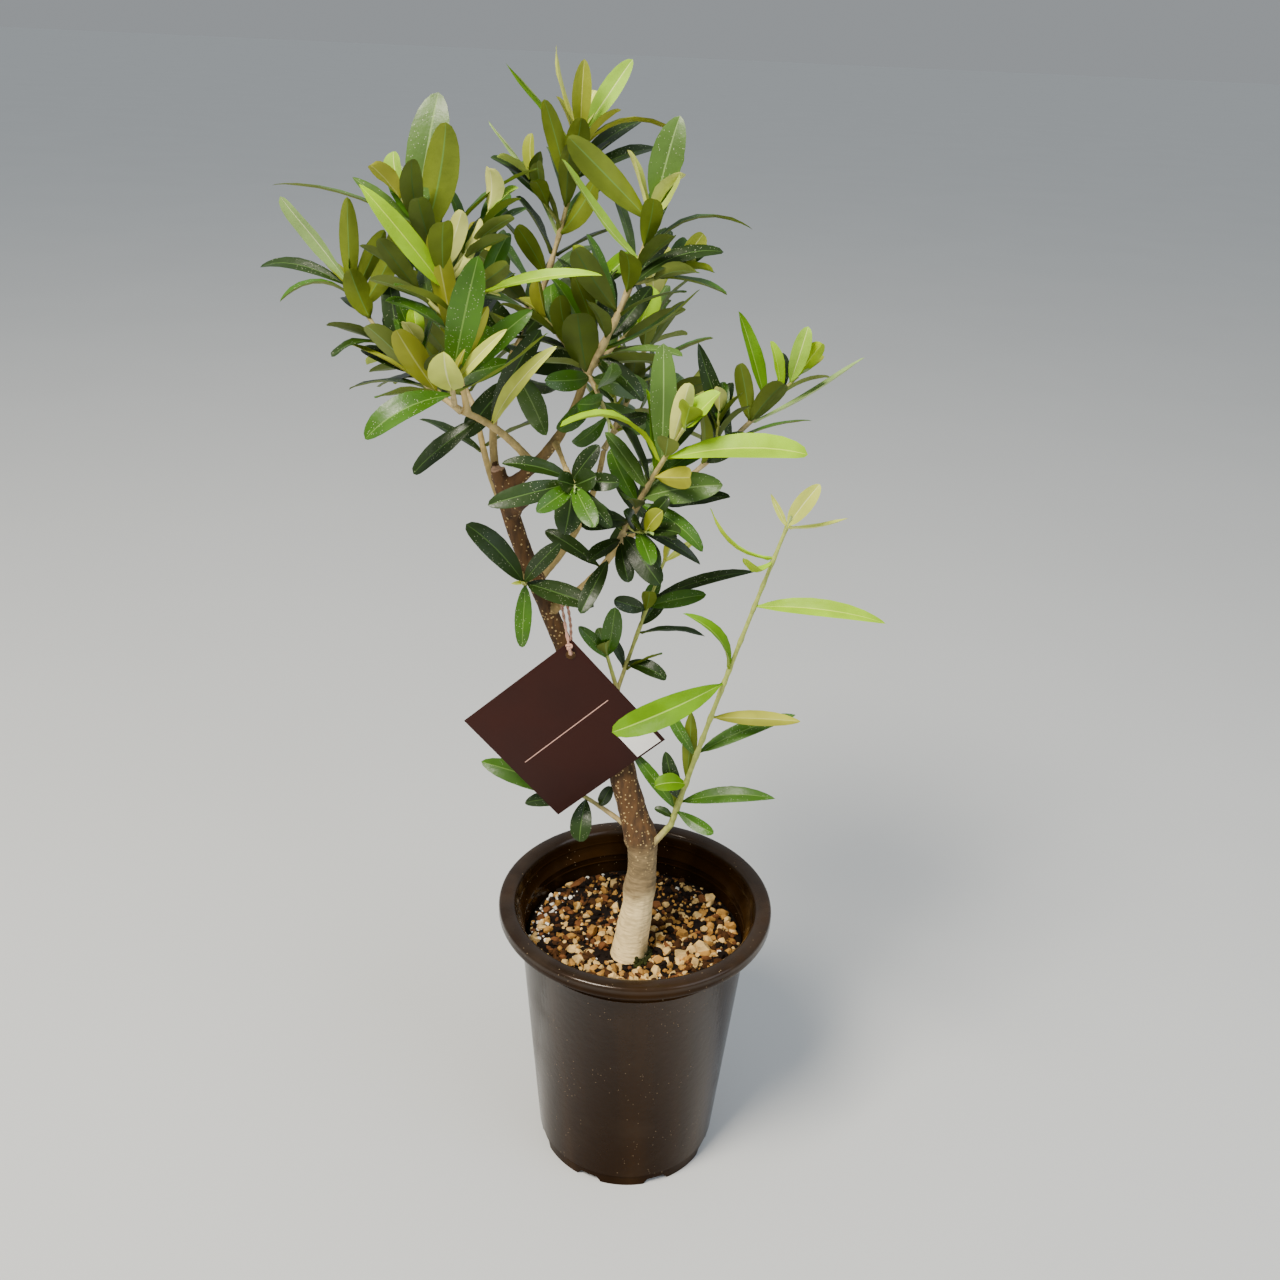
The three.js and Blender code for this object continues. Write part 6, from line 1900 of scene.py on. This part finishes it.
@dataclass
class Tag:
    """A square card on its corner, bare but for a rule line and a blank white square."""

    side: float = 86.5
    thick: float = 0.8
    edge: float = 0.15
    centre: Triple = (-47.7, -15.0, 331.4)
    turn: float = 42.0
    hole_radius: float = 3.0
    hole_inset: float = 10.0
    print_thick: float = 0.06
    rule_ends: tuple[Pair, Pair] = ((-71.8, 307.5), (-22.1, 353.6))
    rule_width: float = 0.5
    patch_middle: Pair = (-2.2, 328.2)
    patch_side: float = 18.4

    def hole(self) -> Vector:
        """Gives the middle of the hole in millimetres."""
        inset = self.side / math.sqrt(2) - self.hole_inset
        return Vector(self.centre) + heading(0, self.turn + 45) * inset

    def plate(self, middle: Sequence[float], wide: float, high: float, thick: float, turn: float) -> Matrix:
        """Gives the matrix that makes a unit cube an upright plate, turned in its own plane by degrees."""
        spin = Matrix.Rotation(-math.radians(turn), 4, "Y")
        stretch = Matrix.Diagonal((wide * MM, thick * MM, high * MM, 1))
        return Matrix.Translation(Vector(middle) * MM) @ spin @ stretch

    def build(self) -> Object:
        """Makes the card with its prints."""
        bm = bmesh.new()
        matrix = self.plate(self.centre, self.side, self.side, self.thick, self.turn)
        bmesh.ops.create_cube(bm, size=1, matrix=matrix)
        rounded = {"affect": "EDGES", "segments": 2, "profile": 0.5, "material": -1}
        bmesh.ops.bevel(bm, geom=bm.edges[:], offset=self.edge * MM, **rounded)
        punch = bmesh.new()
        place = Matrix.Translation(self.hole() * MM) @ Matrix.Rotation(math.pi / 2, 4, "X")
        drill(punch, place, self.hole_radius, 6 * self.thick, 32)
        bm = cut_out(bm, punch)
        front = self.centre[1] - self.thick / 2
        (x0, z0), (x1, z1) = self.rule_ends
        rule = self.plate(
            ((x0 + x1) / 2, front, (z0 + z1) / 2), math.hypot(x1 - x0, z1 - z0), self.rule_width,
            2 * self.print_thick, math.degrees(math.atan2(z1 - z0, x1 - x0)),
        )
        patch = self.plate(
            (self.patch_middle[0], front, self.patch_middle[1]), self.patch_side, self.patch_side,
            2 * self.print_thick, self.turn,
        )
        for number, matrix in enumerate((rule, patch), start=1):
            verts = bmesh.ops.create_cube(bm, size=1, matrix=matrix)["verts"]
            for face in {face for vert in verts for face in vert.link_faces}:
                face.material_index = number
        materials = (
            CardFinish("card", "2e110a", 0.48).material(),
            CardFinish("card_rule", "cfa394").material(),
            CardFinish("card_blank", "f1efec").material(),
        )
        return Dress("tag", "tag", materials, ("tag_card",), 30).put_on(bm)


@dataclass
class Cord:
    """Two twisted plies from the card's hole over the foot of a bough, closed by a knot."""

    tag: Tag
    carrier: Limb
    radius: float = 1.0
    share: float = 0.17
    in_hole: float = 1.4
    behind: float = 2.0
    knot_at: Triple = (-0.8, -2.4, 6.5)
    knot_radius: float = 1.35
    knot_cord: float = 0.72
    knot_steps: int = 48
    clear: float = 0.45
    sling_degrees: tuple[int, ...] = (0, 45, 90, 135, 180)
    down_share: float = 0.55
    down_shift: Triple = (1.5, 0, -1)
    twist: float = 3.6
    ply_off: float = 0.5
    ply_radius: float = 0.54
    step: float = 0.45

    def route(self) -> Spine:
        """Gives the cord's middle line in millimetres."""
        hole = self.tag.hole()
        in_hole = hole + UP * self.in_hole
        knot = hole + Vector(self.knot_at)
        middle, tangent = self.carrier.curve.point(self.share), self.carrier.curve.tangent(self.share)
        side, face = cross_frame(tangent, -AWAY)
        ring = self.carrier.radius(self.share) + self.radius + self.clear
        turn = 1 if side.x >= 0 else -1
        sling = []
        for degrees in self.sling_degrees:
            angle = math.radians(degrees)
            sling.append(middle + face * (ring * math.cos(angle)) - side * (turn * ring * math.sin(angle)))
        back = in_hole + Vector((0, self.behind, 0.2))
        before = in_hole + Vector((0, -self.behind, 0.4))
        down = back.lerp(sling[-1], self.down_share) + Vector(self.down_shift)
        return Spine((knot, *sling, down, back, in_hole, before, knot))

    def build(self) -> Object:
        """Makes the two plies and the knot."""
        route = self.route()
        length = route.length()
        bm = bmesh.new()
        shares = even_shares(round(length / self.step))
        middles = [route.point(t) for t in shares]
        frames = frames_along(middles, [1.0] * len(middles))
        for ply in (0, math.pi):
            points = []
            for t, turn in zip(shares, frames):
                angle = 2 * math.pi * t * length / self.twist + ply
                points.append(turn @ Vector((math.cos(angle), math.sin(angle), 0)))
            off = self.ply_off * self.radius
            plies = [middle.lerp(point, off) * MM for middle, point in zip(middles, points)]
            sweep(bm, plies, [self.ply_radius * self.radius * MM] * len(plies), 7)
        loop = []
        for i in range(self.knot_steps + 1):
            a = 2 * math.pi * i / self.knot_steps
            bend = (math.sin(a) + 2 * math.sin(2 * a), -math.sin(3 * a), math.cos(a) - 2 * math.cos(2 * a))
            loop.append((route.point(0) + Vector(bend) * (self.knot_radius / 2.4)) * MM)
        sweep(bm, loop, [self.knot_cord * MM] * len(loop), 8)
        bmesh.ops.recalc_face_normals(bm, faces=bm.faces[:])
        return Dress("tag_string", "cord", (CordFinish().material(),), ("tag_cord",), 80).put_on(bm)


# Scene


@dataclass
class Studio:
    """The floor, the light and the camera."""

    camera_place: Triple = (0.0, -0.68853, 0.72099)
    pitch: float = 25.863
    yaw: float = -0.388
    roll: float = 2.575
    lens: float = 36.0
    sensor: float = 36.0
    near: float = 0.01
    crown_place: Triple = (-0.03, 0, 0.42)
    floor_size: float = 60.0
    floor_colour: str = "d3d5d5"
    sky_colour: str = "e3e9ee"
    sky: float = 0.62
    horizon: float = 0.4
    haze_top: float = 0.45

    def aim(self) -> Matrix:
        """Gives the camera's turn, from its pitch below level, its yaw and its roll."""
        pitch, yaw, roll = (math.radians(angle) for angle in (self.pitch, self.yaw, self.roll))
        ahead = Vector((math.sin(yaw) * math.cos(pitch), math.cos(yaw) * math.cos(pitch), -math.sin(pitch)))
        right = ahead.cross(UP).normalized()
        top = right.cross(ahead)
        turned_right = right * math.cos(roll) + top * math.sin(roll)
        turned_top = top * math.cos(roll) - right * math.sin(roll)
        return Matrix((turned_right, turned_top, -ahead)).transposed()

    def set_camera(self) -> None:
        """Makes the camera at the photograph's viewing angle."""
        data = bpy.data.cameras.new("camera")
        data.sensor_width, data.lens, data.clip_start = self.sensor, self.lens, self.near
        camera = bpy.data.objects.new("camera", data)
        camera.matrix_world = Matrix.Translation(Vector(self.camera_place)) @ self.aim().to_4x4()
        bpy.context.scene.collection.objects.link(camera)
        bpy.context.scene.camera = camera

    def lay_floor(self) -> None:
        """Makes a plain pale floor."""
        bm = bmesh.new()
        bmesh.ops.create_grid(bm, x_segments=1, y_segments=1, size=self.floor_size / 2)
        floor = loose_object("floor", bm)
        recipe = Recipe("floor")
        colour = recipe.tones(self.floor_colour, recipe.cloud(3, 2), 0.97, 1.03)
        floor.data.materials.append(recipe.finish(colour, 0.9))

    def add_light(self, name: str, place: Triple, size: float, power: float, colour: str) -> None:
        """Hangs a square soft light, of a side in metres and a power in watts, that looks at the crown."""
        data = bpy.data.lights.new(name, "AREA")
        data.size, data.energy, data.color = size, power, linear(colour)[:3]
        light = bpy.data.objects.new(name, data)
        aim = (Vector(self.crown_place) - Vector(place)).to_track_quat("-Z", "Y")
        light.matrix_world = Matrix.Translation(Vector(place)) @ aim.to_matrix().to_4x4()
        bpy.context.scene.collection.objects.link(light)

    def light(self) -> None:
        """Sets the soft sky and the lights."""
        world = bpy.data.worlds.new("sky")
        world.use_nodes = True
        sheet = Sheet(world.node_tree)
        background = sheet.tree.nodes["Background"]
        direction = sheet.node("ShaderNodeTexCoord").outputs["Generated"]
        height = Number(sheet, sheet.node("ShaderNodeSeparateXYZ", None, {0: direction}).outputs[2])
        strength = height.ramp(0, self.haze_top) * (self.sky - self.horizon) + self.horizon
        sheet.feed(background.inputs["Color"], linear(self.sky_colour))
        sheet.feed(background.inputs["Strength"], strength)
        bpy.context.scene.world = world
        self.add_light("key", (-0.9, -1.1, 2.3), 0.8, 100, "fff6e6")
        self.add_light("fill", (1.4, -0.9, 1.3), 1.4, 14, "eaf2ff")

    def build(self) -> None:
        """Makes the whole set."""
        self.set_camera()
        self.lay_floor()
        self.light()


def main() -> None:
    """Builds the tree, its pot and its tag, and reports each piece."""
    logging.basicConfig(level=logging.INFO, format="%(message)s")
    Studio().build()
    skeleton = Skeleton()
    crown = Crown(skeleton)
    crown.grow()
    Wood(skeleton).build(("trunk", *BOUGHS))
    foliage = Foliage(crown)
    foliage.build_leaves(tuple(mass.name for mass in MASSES))
    foliage.build_twigs()
    pot = Pot()
    pot.build()
    soil = Soil(pot)
    soil.build_bed()
    soil.build_grains()
    tag = Tag()
    tag.build()
    Cord(tag, skeleton.boughs["bough_right"]).build()


if __name__ == "__main__":
    main()
